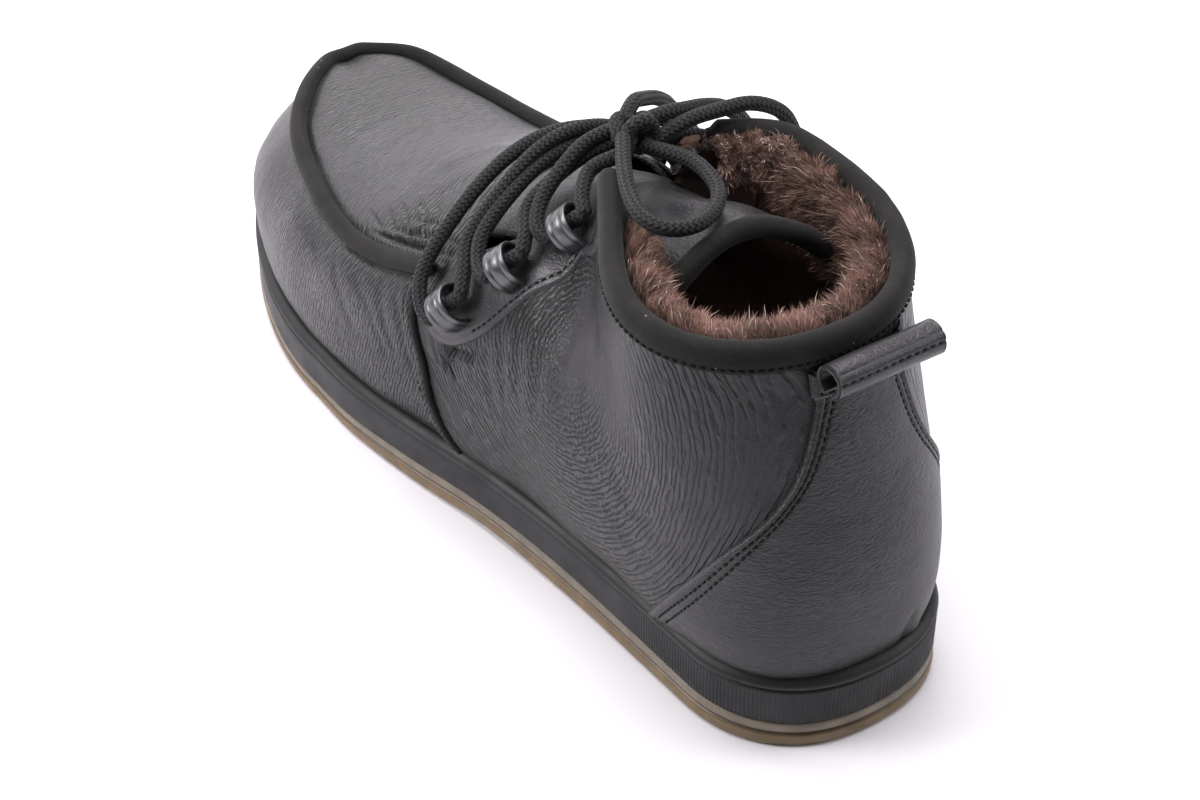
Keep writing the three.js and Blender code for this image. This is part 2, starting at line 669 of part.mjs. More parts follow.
function makeTongue() {
  const tops = TONGUE.map((row, i) => {
    const [a, b] = [TONGUE[Math.max(i - 1, 0)], TONGUE[Math.min(i + 1, TONGUE.length - 1)]];
    const run = new THREE.Vector3(b.x - a.x, 0, b.z - a.z).normalize();
    const up = new THREE.Vector3(run.z, 0, -run.x);
    return { row, up };
  });
  const rings = tops.map(({ row, up }) => {
    const shares = Array.from({ length: TONGUE_POINTS }, (_, k) => (2 * k) / (TONGUE_POINTS - 1) - 1);
    const at = (share, depth) => new THREE.Vector3(row.x, row.half * share, row.z)
      .addScaledVector(up, -row.drop * share * share - depth);
    const top = shares.map((share) => at(share, 0));
    const bottom = shares.map((share) => at(share * 0.96, TONGUE_THICK)).reverse();
    return [...top, ...bottom];
  });
  return loft(rings).subtract(wallClear());
}

// Place on one side of the last that has this x and z
function placeOnLast(side, x, z) {
  const miss = (s, a) => {
    const p = lastPoint(s, side, a);
    return Math.hypot(p.x - x, p.z - z);
  };
  let [s, a, span] = [11, 0.6, 3];
  for (let pass = 0; pass < 40; pass += 1) {
    let best = miss(s, a);
    let [nextS, nextA] = [s, a];
    for (let i = -2; i <= 2; i += 1) {
      for (let j = -2; j <= 2; j += 1) {
        const [trialS, trialA] = [s + (i * span) / 2, THREE.MathUtils.clamp(a + (j * span) / 16, 0.3, 1)];
        const trial = miss(trialS, trialA);
        if (trial < best) [best, nextS, nextA] = [trial, trialS, trialA];
      }
    }
    [s, a, span] = [nextS, nextA, span * 0.8];
  }
  return { s, a };
}

// Seats of the lace loops, with the direction that the lace runs through them
function loopSeats(side) {
  const places = LOOP_PLACES.map(({ x, z }) => placeOnLast(side, x, z));
  const points = places.map(({ s, a }) => lastPoint(s, side, a));
  const throat = points[2].clone().sub(points[0]).normalize();
  return places.map(({ s, a }, i) => {
    const normal = lastNormal(s, side, a);
    const run = throat.clone().addScaledVector(normal, -throat.dot(normal)).normalize();
    const centre = points[i].clone().addScaledVector(normal, LACE.lift);
    return { side, s, a, normal, run, point: points[i], centre };
  });
}

function makeLoop({ point, normal, run }) {
  const inner = LOOP.half - LOOP.strap;
  const top = LOOP.height - LOOP.half;
  const arc = (radius, turn) => [radius * Math.cos(turn), top + radius * Math.sin(turn)];
  const turns = Array.from({ length: LOOP.segments + 1 }, (_, i) => (i * Math.PI) / LOOP.segments);
  const outerArc = turns.map((turn) => arc(LOOP.half, turn));
  const innerArc = turns.map((turn) => arc(inner, turn)).reverse();
  const foot = -2;
  const outside = [[LOOP.half, foot], ...outerArc, [-LOOP.half, foot]];
  const outline = [...outside, [-inner, foot], ...innerArc, [inner, foot]];
  const shape = new THREE.Shape(outline.map(([x, y]) => new THREE.Vector2(x, y)));
  const geometry = new THREE.ExtrudeGeometry(shape, { depth: LOOP.width, bevelEnabled: false });
  geometry.translate(0, 0, -LOOP.width / 2);
  const across = normal.clone().cross(run);
  const seat = point.clone().addScaledVector(normal, FACING_THICK + 2 * GAP);
  geometry.applyMatrix4(new THREE.Matrix4().makeBasis(across, normal, run).setPosition(seat));
  return solidOf(geometry).subtract(lastForm(FACING_THICK + 2 * GAP));
}

// Round cord through points
function cord(points, step) {
  const curve = new THREE.CatmullRomCurve3(points);
  const ring = oval(LACE.radius, LACE.radius, LACE.sides, 2).map(([x, y]) => new THREE.Vector2(x, y));
  const steps = Math.round(curve.getLength() / step);
  const options = { steps, bevelEnabled: false, extrudePath: curve };
  return solidOf(new THREE.ExtrudeGeometry(new THREE.Shape(ring), options));
}

// Points of a strand through a loop, and up from its mouth to a crest
function passLoop({ centre, run }) {
  const [near, far] = LACE.reach;
  return [-far, -near, 0, near, far].map((end) => centre.clone().addScaledVector(run, end));
}

function climb(seat, end, crestS, turns = end < 0 ? LACE_TURN.front : LACE_TURN.back) {
  const inward = seat.normal.clone().cross(seat.run).multiplyScalar(TOE[seat.side].sign);
  const places = turns.map(([forward, across]) => {
    const near = seat.point.clone().addScaledVector(seat.run, end * forward).addScaledVector(inward, across);
    return placeOnLast(seat.side, near.x, near.z);
  });
  const from = places[1];
  for (const share of [0.4, 0.75]) {
    const s = THREE.MathUtils.lerp(from.s, crestS, share);
    places.push({ s, a: THREE.MathUtils.lerp(from.a, 1, share) });
  }
  return places.map(({ s, a }) => offLast(s, seat.side, a, LACE.lift));
}

function crossing(lower, upper) {
  const crestS = (lower.s + upper.s) / 2;
  const crest = offLast(crestS, 'outer', 1, LACE.lift);
  return [...climb(lower, 1, crestS), crest, ...climb(upper, -1, crestS).reverse()];
}

// Half of the laid lace: from the middle of the lowest bar through three loops to the knot
function laidHalf(first, second, third) {
  const barS = first.s - 0.45;
  const start = offLast(barS, second.side, 0.97, LACE.lift);
  const finish = new THREE.Vector3(KNOT.x + 1, TOE[third.side].sign * 3, KNOT.z - KNOT.halfZ - 0.6);
  return cord([
    start,
    ...climb(first, -1, barS).reverse(),
    ...passLoop(first),
    ...crossing(first, second),
    ...passLoop(second),
    ...crossing(second, third),
    ...passLoop(third),
    ...climb(third, 1, third.s, LACE_TURN.top).slice(0, 2),
    finish,
  ], LACE.laidStep);
}

function makeLaidLace({ outer, inner }) {
  const first = laidHalf(outer[0], inner[1], outer[2]);
  const second = laidHalf(inner[0], outer[1], inner[2]);
  return first.add(second).subtract(knotForm(GAP));
}

function knotForm(grow) {
  const ball = new THREE.SphereGeometry(1, 10, 7);
  ball.scale(KNOT.halfX + grow, KNOT.halfY + grow, KNOT.halfZ + grow);
  ball.translate(KNOT.x, KNOT.y, KNOT.z);
  return solidOf(ball);
}

function freeCord(points) {
  return cord(points.map(([x, y, z]) => new THREE.Vector3(x, y, z)), LACE.freeStep);
}

function makePullTab() {
  const tube = new THREE.Shape().absarc(TAB.x, TAB.z, TAB.radius, 0, 2 * Math.PI);
  tube.holes.push(new THREE.Path().absarc(TAB.x, TAB.z, TAB.bore, 0, 2 * Math.PI));
  const options = { depth: TAB.length, bevelEnabled: false, curveSegments: TAB.segments };
  const geometry = new THREE.ExtrudeGeometry(tube, options);
  geometry.rotateX(Math.PI / 2);
  geometry.translate(0, TAB.y + TAB.length / 2, 0);
  const seat = COUNTER_THICK + 2 * GAP;
  const [low, high] = [TAB.y - TAB.length / 2, TAB.y + TAB.length / 2];
  const [foot, top] = [TAB_TAIL.low, TAB_TAIL.high];
  const box = prismY([[-30, foot], [40, foot], [40, top], [-30, top]], low, high);
  const tail = lastForm(seat + TAB_TAIL.thick).subtract(lastForm(seat)).intersect(box);
  return solidOf(geometry).subtract(lastForm(seat)).add(tail);
}

// Fur ring inside the collar, with locks that lean in and up round its edge
function makeFur() {
  const whole = () => 1;
  const wall = lastForm(-WALL - 2 * GAP, 1, whole).subtract(aboveCollar(-GAP));
  const behindBinding = BINDING.out - 2 * BINDING.half - 3 * GAP;
  const crown = lastForm(behindBinding, 1, whole).subtract(aboveCollar(FUR.rise));
  const reach = [[-40, FUR.low], [FUR.front, FUR.low], [FUR.front, 200], [-40, 200]];
  let fur = wall.add(crown).subtract(lastForm(-FUR.depth, 1, whole)).intersect(prismY(reach, -90, 90));
  const lock = (side, a) => {
    const { point, out } = collarPlace(side, a);
    const lean = out.clone().multiplyScalar(-0.5).setZ(0.85).normalize();
    const turn = new THREE.Quaternion().setFromUnitVectors(new THREE.Vector3(0, 1, 0), lean);
    const cone = new THREE.ConeGeometry(LOCK.radius, LOCK.height, LOCK.sides);
    cone.applyQuaternion(turn);
    const root = point.clone().addScaledVector(out, 1 - FUR.depth);
    cone.translate(root.x, root.y, root.z + FUR.rise - 1);
    return solidOf(cone);
  };
  for (let i = 0; i <= LOCK.count; i += 1) {
    fur = fur.add(lock('outer', (FUR.end * i) / LOCK.count));
    if (i > 0) fur = fur.add(lock('inner', (FUR.end * i) / LOCK.count));
  }
  const tongueRoom = prismY([[60, 90], [170, 60], [170, 140], [60, 140]], -30, 26);
  return fur.subtract(throatPrism(3)).subtract(tongueRoom);
}

const outsole = makeOutsole();
const midsole = makeMidsole();
const insole = makeInsole();
const upper = makeUpper();
const tongue = makeTongue();

addPiece('outsole', outsole, 'amber');
addPiece('midsole', midsole, 'black');
addPiece('insole', insole, 'felt');
addPiece('upper', upper, 'leather');
addPiece('tongue', tongue, 'leather');
addPiece('heel_counter', makeCounter(), 'leather');
addPiece('facing_outer', makeFacing('outer'), 'leather');
addPiece('facing_inner', makeFacing('inner'), 'leather');
addPiece('moc_piping', makePiping(), 'suede');
addPiece('collar_binding', makeBinding(), 'suede');
addPiece('pull_tab', makePullTab(), 'leather');
addPiece('fur_lining', makeFur(), 'fur');

const seats = { outer: loopSeats('outer'), inner: loopSeats('inner') };
for (const side of ['outer', 'inner']) {
  seats[side].forEach((seat, i) => addPiece(`lace_loop_${side}_${i + 1}`, makeLoop(seat), 'metal'));
}
addPiece('lace_laid', makeLaidLace(seats), 'lace');

// Free cords of the lace, and the centre of the rest on the floor at the origin
const box = new THREE.Box3().setFromObject(assembly);
addPiece('lace_knot', knotForm(0), 'lace');
addPiece('lace_bow_outer', freeCord(BOW_OUTER).subtract(knotForm(GAP)), 'lace');
addPiece('lace_bow_inner', freeCord(BOW_INNER).subtract(knotForm(GAP)), 'lace');
addPiece('lace_end_front', freeCord(END_FRONT).subtract(knotForm(GAP)), 'lace');
addPiece('lace_end_back', freeCord(END_BACK).subtract(knotForm(GAP)), 'lace');
const middle = box.getCenter(new THREE.Vector3());
assembly.position.set(-middle.x, -middle.y, -box.min.z);

export default assembly;
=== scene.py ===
import math
import bpy
import numpy as np
from mathutils import Matrix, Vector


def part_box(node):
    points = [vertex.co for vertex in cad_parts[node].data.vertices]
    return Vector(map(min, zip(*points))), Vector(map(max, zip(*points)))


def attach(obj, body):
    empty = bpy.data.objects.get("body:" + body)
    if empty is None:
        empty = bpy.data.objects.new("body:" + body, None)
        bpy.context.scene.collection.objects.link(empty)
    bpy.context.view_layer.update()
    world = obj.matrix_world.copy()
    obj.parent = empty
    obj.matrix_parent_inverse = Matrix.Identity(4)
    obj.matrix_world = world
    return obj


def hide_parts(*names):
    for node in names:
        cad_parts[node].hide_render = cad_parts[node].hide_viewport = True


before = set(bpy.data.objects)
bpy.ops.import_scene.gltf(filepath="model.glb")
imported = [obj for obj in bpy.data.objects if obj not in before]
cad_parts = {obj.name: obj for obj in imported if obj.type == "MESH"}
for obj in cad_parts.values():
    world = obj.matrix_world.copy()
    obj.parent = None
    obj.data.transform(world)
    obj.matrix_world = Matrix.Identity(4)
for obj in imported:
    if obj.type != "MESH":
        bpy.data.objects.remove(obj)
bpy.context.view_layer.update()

# The source's last frame, in millimetres, to the row frame, in metres
MM = 0.001
SOLE_LENGTH = 304.0
MIDSOLE_MIDDLE_Y = -2.15
sole_low, sole_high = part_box("midsole")
SHIFT = np.array([
    (sole_low[0] + sole_high[0]) / 2 - SOLE_LENGTH / 2 * MM,
    (sole_low[1] + sole_high[1]) / 2 - MIDSOLE_MIDDLE_Y * MM,
    0.0,
])


def row_frame(points):
    return np.asarray(points, float) * MM + SHIFT


# Camera: the photograph's place, turned to the middle of the one boot
EYE = (-382.2, 359.4, 506.6)
AIM = (126.0, 0.0, 29.0)
LENS = 82.0
SENSOR = 36.0

# Free cords of the lace, the source's own route points
LACE_RADIUS = 2.1
BOW_OUTER = [
    (106, -0.9, 124.5), (100, -3.4, 125), (93.8, -5.9, 125), (86.1, -5.7, 125), (77.1, -2.4, 125),
    (70.9, 4.2, 125), (68.1, 12.1, 125.5), (70.2, 18.6, 126), (76, 21.5, 126.8), (85.3, 19.3, 127.5),
    (95.8, 13.8, 128.5), (106.5, 6.5, 129.3),
]
BOW_INNER = [
    (112.3, -5.5, 128.2), (112.3, -12, 128), (113, -18, 126.5), (114.5, -26, 124), (117, -35, 119), (119.5, -44, 110),
    (121.5, -49.5, 97), (124, -52.4, 84), (129, -53.6, 74.5), (136, -53.6, 71), (142, -51.9, 76), (142, -47.4, 87),
    (138, -41.5, 97), (132, -33, 106.5), (126, -22.5, 115), (121, -12.5, 121.5), (116, -6, 123.6),
]
END_FRONT = [
    (115, -0.5, 129.6), (118.6, -5.5, 130.2), (123.4, -12.5, 126.5), (128.8, -20.8, 121.1), (135.5, -30, 112.4),
    (142.5, -37.6, 101.2), (149.3, -43.6, 90), (154.3, -47.5, 78.7), (157.5, -50, 68),
]
END_BACK = [
    (108.6, -4.5, 123.4), (108, -15, 126.3), (107.5, -25, 126.3), (106.5, -36, 125.2), (105.5, -46, 119),
    (105, -51, 108), (105, -52.6, 95), (105, -52.5, 82), (105.3, -51.6, 70),
]
KNOT = np.array([111.5, 0.0, 127.0])
AGLET_LENGTH = 13.0

# The last: x and z of foot and crest, y of both, half widths and where they lie, ridge, base power
SECTIONS = np.array([
    [301.8, 34, 301.8, 40, -15, -15, 2, 2, 0.5, 0.5, 1.4, 1.4, 0.85, 0.85, 2],
    [300.5, 28, 299.5, 47, -15, -15, 10, 10, 0.5, 0.5, 7, 7, 0.85, 0.85, 2.2],
    [296, 23, 294.5, 53.6, -15, -15, 20.5, 17.5, 0.45, 0.45, 13, 11, 0.85, 0.85, 2.6],
    [288, 20, 287, 59.4, -14.5, -14.5, 32, 24.5, 0.45, 0.45, 10, 9, 0.955, 0.953, 3],
    [276, 17, 275, 62.2, -13, -13, 41, 32, 0.46, 0.46, 21, 19.4, 0.957, 0.945, 3.6],
    [255, 14, 254, 64.9, -8, -8, 46.5, 42.7, 0.45, 0.45, 31.5, 29.1, 0.925, 0.886, 3.6],
    [228, 11, 226, 69.2, -5, -5, 51, 47.6, 0.44, 0.44, 39.5, 35.2, 0.874, 0.844, 3.6],
    [200, 10, 199, 77, -3, -3, 51.5, 47.4, 0.4, 0.4, 44.3, 37.4, 0.785, 0.815, 3.6],
    [172, 10, 176, 87, -1.5, -1.5, 49, 43.2, 0.36, 0.36, 44.5, 38.4, 0.727, 0.795, 3.6],
    [140, 10, 155, 97.5, 0, 0, 44, 39.5, 0.36, 0.36, 41.5, 38, 0.727, 0.82, 3.4],
    [100, 10, 139, 105, 0, 0, 42, 40, 0.4, 0.4, 37, 36, 0.75, 0.78, 3],
    [62, 10, 128, 110, 0, -1, 43, 42, 0.42, 0.45, 34, 36, 0.77, 0.8, 2.7],
    [28, 11, 121, 112.5, 0, -2, 43.5, 42, 0.43, 0.5, 31, 36, 0.78, 0.82, 2.7],
    [6, 20, 118, 114, 0.5, -2, 43, 42, 0.43, 0.5, 30, 37, 0.78, 0.84, 2.6],
    [2, 45, 116, 115, 1, -2, 43, 41.5, 0.42, 0.52, 28, 37, 0.78, 0.86, 2.3],
    [9, 80, 114.5, 116, 2, -2, 43, 43, 0.4, 0.55, 26, 37, 0.78, 0.88, 2.1],
    [18, 113, 113.5, 117, 2.5, -2, 41.5, 43.5, 0.36, 0.58, 24, 36, 0.77, 0.9, 2.1],
    [20, 131, 113.5, 135, 2.5, -2, 41.5, 43.5, 0.36, 0.58, 24, 36, 0.77, 0.9, 2.1],
])
LAST_S = len(SECTIONS) - 1
WIDE_AT = 0.36
RIDGE_AT = 0.66
COLLAR_BACK = (18.0, 111.5)
COLLAR_FRONT = (112.0, 113.0)
THROAT = [(152, 0, 0), (150, 12, -12), (146, 26, -26), (140, 34, -34), (125, 24.5, -24.5), (112, 15.5, -14),
          (104, 10, -8), (88, 9, -7)]
SLOPE, FULLNESS = 0.55, 1.11
SEARCH_ROUNDS, SEARCH_SHRINK = 42, 0.82


# A bell round a middle, and a grade from 0 to 1 over a span
def bell(x, middle, width):
    return np.exp(-((x - middle) / width) ** 2)


def grade(x, start, span, low=0, high=1):
    return np.clip((x - start) / span, low, high)


def spread(*values):
    return np.broadcast_arrays(*(np.asarray(v, float) for v in values))


# Cubic between two points with their slopes
def hermite(p, mp, q, mq, t):
    t2 = t * t
    t3 = t2 * t
    return p * (2 * t3 - 3 * t2 + 1) + mp * (t3 - 2 * t2 + t) + q * (3 * t2 - 2 * t3) + mq * (t3 - t2)


# Row of the last's table at any s, toe to collar
def section(s):
    s = np.asarray(s, float)
    i = np.clip(np.floor(s).astype(int), 0, LAST_S - 1)
    t = (s - i)[..., None]
    a, b, c, d = (SECTIONS[np.clip(i + k, 0, LAST_S)] for k in (-1, 0, 1, 2))
    return hermite(b, (c - a) / 2, c, (d - b) / 2, t)


# Point of the last at s, side and share a of the way from foot to crest
def last_point(s, sign, a):
    s, sign, a = spread(s, sign, a)
    r = section(s)
    wide, wide_at, ridge, ridge_at = (np.where(sign > 0, r[..., k], r[..., k + 1]) for k in (6, 8, 10, 12))
    power = 2 / r[..., 14]
    turn = np.clip(a / WIDE_AT, 0, 1) * np.pi / 2
    low_half = wide * np.sin(turn) ** power
    low_rise = wide_at * (1 - np.clip(np.cos(turn), 0, 1) ** power)
    slope_half, slope_rise = -SLOPE * wide, SLOPE * (1 - wide_at)
    t = np.clip((a - WIDE_AT) / (RIDGE_AT - WIDE_AT), 0, 1)
    side_half = hermite(wide, 0, ridge, slope_half, t)
    side_rise = hermite(wide_at, FULLNESS * (ridge_at - wide_at), ridge_at, slope_rise, t)
    t = np.clip((a - RIDGE_AT) / (1 - RIDGE_AT), 0, 1)
    top_half = hermite(ridge, slope_half, 0, -FULLNESS * ridge, t)
    top_rise = hermite(ridge_at, slope_rise, 1, 0, t)
    half = np.where(a <= WIDE_AT, low_half, np.where(a <= RIDGE_AT, side_half, top_half))
    rise = np.where(a <= WIDE_AT, low_rise, np.where(a <= RIDGE_AT, side_rise, top_rise))
    x, z, y = (r[..., k] + (r[..., k + 2 - (k == 4)] - r[..., k]) * rise for k in (0, 1, 4))
    return np.stack([x, y + sign * half, z], -1)


def unit(v):
    return v / np.maximum(np.linalg.norm(v, axis=-1, keepdims=True), 1e-9)


def last_normal(s, sign, a):
    s, sign, a = spread(s, sign, a)
    run = last_point(np.minimum(s + 0.02, LAST_S), sign, a) - last_point(np.maximum(s - 0.02, 0), sign, a)
    rise = last_point(s, sign, np.minimum(a + 0.01, 1)) - last_point(s, sign, np.maximum(a - 0.01, 0))
    return unit(np.cross(run, rise) * sign[..., None])


def off_last(s, sign, a, distance):
    distance = np.asarray(distance, float)[..., None]
    return last_point(s, sign, a) + last_normal(s, sign, a) * distance


# Places on one side of the last that lie nearest to targets, by chosen axes
def place(sign, targets, axes=(0, 2), start=(11.0, 0.6), low=0.3):
    targets = np.asarray(targets, float)
    count = np.arange(len(targets))
    s = np.zeros(len(targets)) + start[0]
    a = np.zeros(len(targets)) + start[1]
    span = 3.0
    i, j = (k.ravel() for k in np.meshgrid(np.arange(-2, 3), np.arange(-2, 3)))
    for _ in range(SEARCH_ROUNDS):
        trial_s = np.clip(s[:, None] + i * span / 2, 0, LAST_S)
        trial_a = np.clip(a[:, None] + j * span / 16, low, 1)
        gap = last_point(trial_s, sign, trial_a)[..., list(axes)] - targets[:, None, :]
        best = np.linalg.norm(gap, axis=-1).argmin(1)
        s, a = trial_s[count, best], trial_a[count, best]
        span *= SEARCH_SHRINK
    return s, a


def collar_z(x):
    slope = (COLLAR_FRONT[1] - COLLAR_BACK[1]) / (COLLAR_FRONT[0] - COLLAR_BACK[0])
    return COLLAR_BACK[1] + slope * (x - COLLAR_BACK[0])


# Point and outward direction of the collar's edge at shares a of one side
def collar_places(sign, a):
    a = np.asarray(a, float)
    low = np.full(a.shape, 12.0)
    top = np.full(a.shape, float(LAST_S))
    for _ in range(30):
        middle = (low + top) / 2
        p = last_point(middle, sign, a)
        under = p[..., 2] < collar_z(p[..., 0])
        low = np.where(under, middle, low)
        top = np.where(under, top, middle)
    out = last_normal(low, sign, a)
    out[..., 2] = 0
    return low, last_point(low, sign, a), unit(out)


# Smooth curves through points
def centripetal(points, step):
    p = np.asarray(points, float)
    p = np.vstack([2 * p[0] - p[1], p, 2 * p[-1] - p[-2]])
    out = []
    for k in range(1, len(p) - 2):
        p0, p1, p2, p3 = p[k - 1], p[k], p[k + 1], p[k + 2]
        d0, d1, d2 = (max(np.linalg.norm(q - r) ** 0.5, 1e-4) for q, r in ((p1, p0), (p2, p1), (p3, p2)))
        m1 = ((p1 - p0) / d0 - (p2 - p0) / (d0 + d1) + (p2 - p1) / d1) * d1
        m2 = ((p2 - p1) / d1 - (p3 - p1) / (d1 + d2) + (p3 - p2) / d2) * d1
        t = np.linspace(0, 1, 24, endpoint=False)[:, None]
        out.append(hermite(p1, m1, p2, m2, t))
    return resample(np.vstack(out + [p[-2:-1]]), step)


def travelled(points):
    return np.concatenate([[0], np.cumsum(np.linalg.norm(np.diff(points, axis=0), axis=1))])


def sample(points, places, at):
    return np.stack([np.interp(at, places, column) for column in points.T], -1)


def resample(points, step):
    far = travelled(points)
    return sample(points, far, np.linspace(0, far[-1], max(2, int(round(far[-1] / step)) + 1)))


# Rounds of averaging with both neighbours, ends held
def relax(points, rounds):
    for _ in range(rounds):
        points[1:-1] = (points[:-2] + 2 * points[1:-1] + points[2:]) / 4
    return points


# Steps to the nearer end of a row
def from_ends(count):
    return np.minimum(np.arange(count), np.arange(count)[::-1])


def length_of(points):
    return float(np.linalg.norm(np.diff(points, axis=0), axis=1).sum())


# Smooth deterministic waves, about -1 to 1
def waves(p, wavelength, seed, count=7):
    draw = np.random.default_rng(seed)
    turn = unit(draw.normal(size=(count, 3))) * 2 * np.pi / (wavelength * draw.uniform(0.7, 1.5, (count, 1)))
    return np.sin(p @ turn.T + draw.uniform(0, 2 * np.pi, count)).sum(-1) / count ** 0.5 / 1.4


# Mesh pieces from arrays
def grid_faces(n, m, wrap=False):
    i = np.arange(n - 1)[:, None]
    j = np.arange(m if wrap else m - 1)[None, :]
    k = (j + 1) % m
    return np.stack([i * m + j, i * m + k, (i + 1) * m + k, (i + 1) * m + j], -1).reshape(-1, 4)


def make_piece(name, points, faces, mats, nodes=(), uv=None, tint=None, mat_index=None, ride=True):
    faces = faces if isinstance(faces, list) else [faces]
    used = np.unique(np.concatenate([f.ravel() for f in faces]))
    index = np.zeros(len(points), int)
    index[used] = np.arange(len(used))
    loops = np.concatenate([index[f].ravel() for f in faces])
    sizes = np.concatenate([np.full(len(f), f.shape[1]) for f in faces])
    mesh = bpy.data.meshes.new(name)
    mesh.vertices.add(len(used))
    mesh.vertices.foreach_set("co", row_frame(points[used]).ravel().astype(np.float32))
    mesh.loops.add(len(loops))
    mesh.loops.foreach_set("vertex_index", loops.astype(np.int32))
    mesh.polygons.add(len(sizes))
    mesh.polygons.foreach_set("loop_start", np.concatenate([[0], np.cumsum(sizes)[:-1]]).astype(np.int32))
    mesh.polygons.foreach_set("use_smooth", np.ones(len(sizes), bool))
    if mat_index is not None:
        mesh.polygons.foreach_set("material_index", np.asarray(mat_index, np.int32))
    if uv is not None:
        layer = mesh.uv_layers.new(name="UVMap")
        layer.data.foreach_set("uv", np.asarray(uv, np.float32).ravel())
    if tint is not None:
        color = mesh.color_attributes.new("tint", "FLOAT_COLOR", "POINT")
        rgba = np.concatenate([tint[used], np.ones((len(used), 1))], 1)
        color.data.foreach_set("color", rgba.astype(np.float32).ravel())
    mesh.update(calc_edges=True)
    mesh.validate()
    for mat in mats if isinstance(mats, list) else [mats]:
        mesh.materials.append(mat)
    piece = bpy.data.objects.new(name, mesh)
    bpy.context.scene.collection.objects.link(piece)
    if ride:
        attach(piece, "root")
        if nodes:
            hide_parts(*nodes)
    return piece


def join(parts):
    points, faces, start = [], [], 0
    for p, f in parts:
        points.append(p)
        faces.extend(g + start for g in (f if isinstance(f, list) else [f]))
        start += len(p)
    return np.vstack(points), faces


# Directions across a path, carried along it without twist
def carried(path):
    run = unit(np.gradient(path, axis=0))
    side = np.cross(run[0], [0.31, 0.17, 0.93])
    out = np.empty_like(path)
    for k, t in enumerate(run):
        side = side - t * (side @ t)
        side = side / np.linalg.norm(side)
        out[k] = side
    return run, out, np.cross(run, out)


# Round cord with closed round ends; uv counts plaits round it and millimetres along it
def tube(path, radius, sides=14, radii=None):
    run, out, up = carried(path)
    size = np.full(len(path), radius) if radii is None else np.asarray(radii, float)
    dome = np.radians([88, 60, 30])
    for end, forward in ((0, -1), (-1, 1)):
        p = path[end] + forward * run[end] * (size[end] * np.sin(dome))[:, None]
        r = size[end] * np.cos(dome)
        block = [np.repeat(d[end][None], 3, 0) for d in (out, up)]
        if end == 0:
            centres, scales, outs, ups = p, r, block[0], block[1]
        else:
            centres = np.vstack([centres, path, p[::-1]])
            scales = np.concatenate([scales, size, r[::-1]])
            outs = np.vstack([outs, out, block[0]])
            ups = np.vstack([ups, up, block[1]])
    turn = np.arange(sides) / sides * 2 * np.pi
    ring = outs[:, None] * np.cos(turn)[:, None] + ups[:, None] * np.sin(turn)[:, None]
    points = centres[:, None] + ring * scales[:, None, None]
    n = len(centres)
    far = travelled(centres)
    i, j = (k.ravel() for k in np.meshgrid(np.arange(n - 1), np.arange(sides), indexing="ij"))
    uv = np.stack([
        np.stack([j / sides, far[i]], -1), np.stack([(j + 1) / sides, far[i]], -1),
        np.stack([(j + 1) / sides, far[i + 1]], -1), np.stack([j / sides, far[i + 1]], -1),
    ], 1)
    return points.reshape(-1, 3), grid_faces(n, sides, True), uv


# Sweep of closed outlines (count x k x 2) along frames, with both ends closed
def sweep(centres, outs, ups, outline):
    outline = np.broadcast_to(outline, (len(centres),) + np.shape(outline)[-2:])
    points = centres[:, None] + outs[:, None] * outline[..., :1] + ups[:, None] * outline[..., 1:]
    n, m = points.shape[:2]
    middles = points[[0, -1]].mean(1)
    j = np.arange(m)
    k = (j + 1) % m
    first = np.stack([k, j, np.full(m, n * m)], -1)
    second = np.stack([(n - 1) * m + j, (n - 1) * m + k, np.full(m, n * m + 1)], -1)
    return np.vstack([points.reshape(-1, 3), middles]), [grid_faces(n, m, True), first, second]


def oval(half_width, half_height, sides, power):
    turn = (np.arange(sides) + 0.5) / sides * 2 * np.pi
    c, s = np.cos(turn), np.sin(turn)
    bend = 2 / power
    return np.stack([half_width * np.sign(c) * abs(c) ** bend, half_height * np.sign(s) * abs(s) ** bend], -1)


# Materials
def node(tree, kind, inputs=(), **props):
    made = tree.nodes.new(kind)
    for key, value in props.items():
        setattr(made, key, value)
    for key, value in dict(inputs).items():
        if isinstance(value, bpy.types.NodeSocket):
            tree.links.new(value, made.inputs[key])
        else:
            made.inputs[key].default_value = value
    return made


def math_node(tree, operation, a, b=0.0):
    return node(tree, "ShaderNodeMath", {0: a, 1: b}, operation=operation).outputs[0]


def times(tree, a, b):
    return math_node(tree, "MULTIPLY", a, b)


def mix_color(tree, factor, a, b):
    made = node(tree, "ShaderNodeMix", {0: factor, 6: a, 7: b}, data_type="RGBA")
    return made.outputs[2]


def ramp(tree, value, low, high, to_low=0.0, to_high=1.0):
    made = node(tree, "ShaderNodeMapRange", {0: value, 1: low, 2: high, 3: to_low, 4: to_high})
    return made.outputs[0]


def noise(tree, coord, per_mm, detail=3.0, rough=0.5, scale=(1, 1, 1)):
    if scale != (1, 1, 1):
        coord = node(tree, "ShaderNodeMapping", {"Vector": coord, "Scale": scale}).outputs[0]
    inputs = {"Vector": coord, "Scale": per_mm / MM, "Detail": detail, "Roughness": rough}
    return node(tree, "ShaderNodeTexNoise", inputs).outputs[0]


def new_material(name, **constants):
    mat = bpy.data.materials.new(name)
    mat.use_nodes = True
    tree = mat.node_tree
    shader = tree.nodes["Principled BSDF"]
    for key, value in constants.items():
        shader.inputs[key.replace("_", " ")].default_value = value
    coord = node(tree, "ShaderNodeTexCoord").outputs["Object"]
    return mat, tree, shader, coord


def bump(tree, shader, height, strength, distance, under=None):
    inputs = {"Height": height, "Strength": strength, "Distance": distance * MM}
    if under is not None:
        inputs["Normal"] = under
    made = node(tree, "ShaderNodeBump", inputs)
    tree.links.new(made.outputs[0], shader.inputs["Normal"])
    return made.outputs[0]


def link(tree, value, shader, name):
    tree.links.new(value, shader.inputs[name])


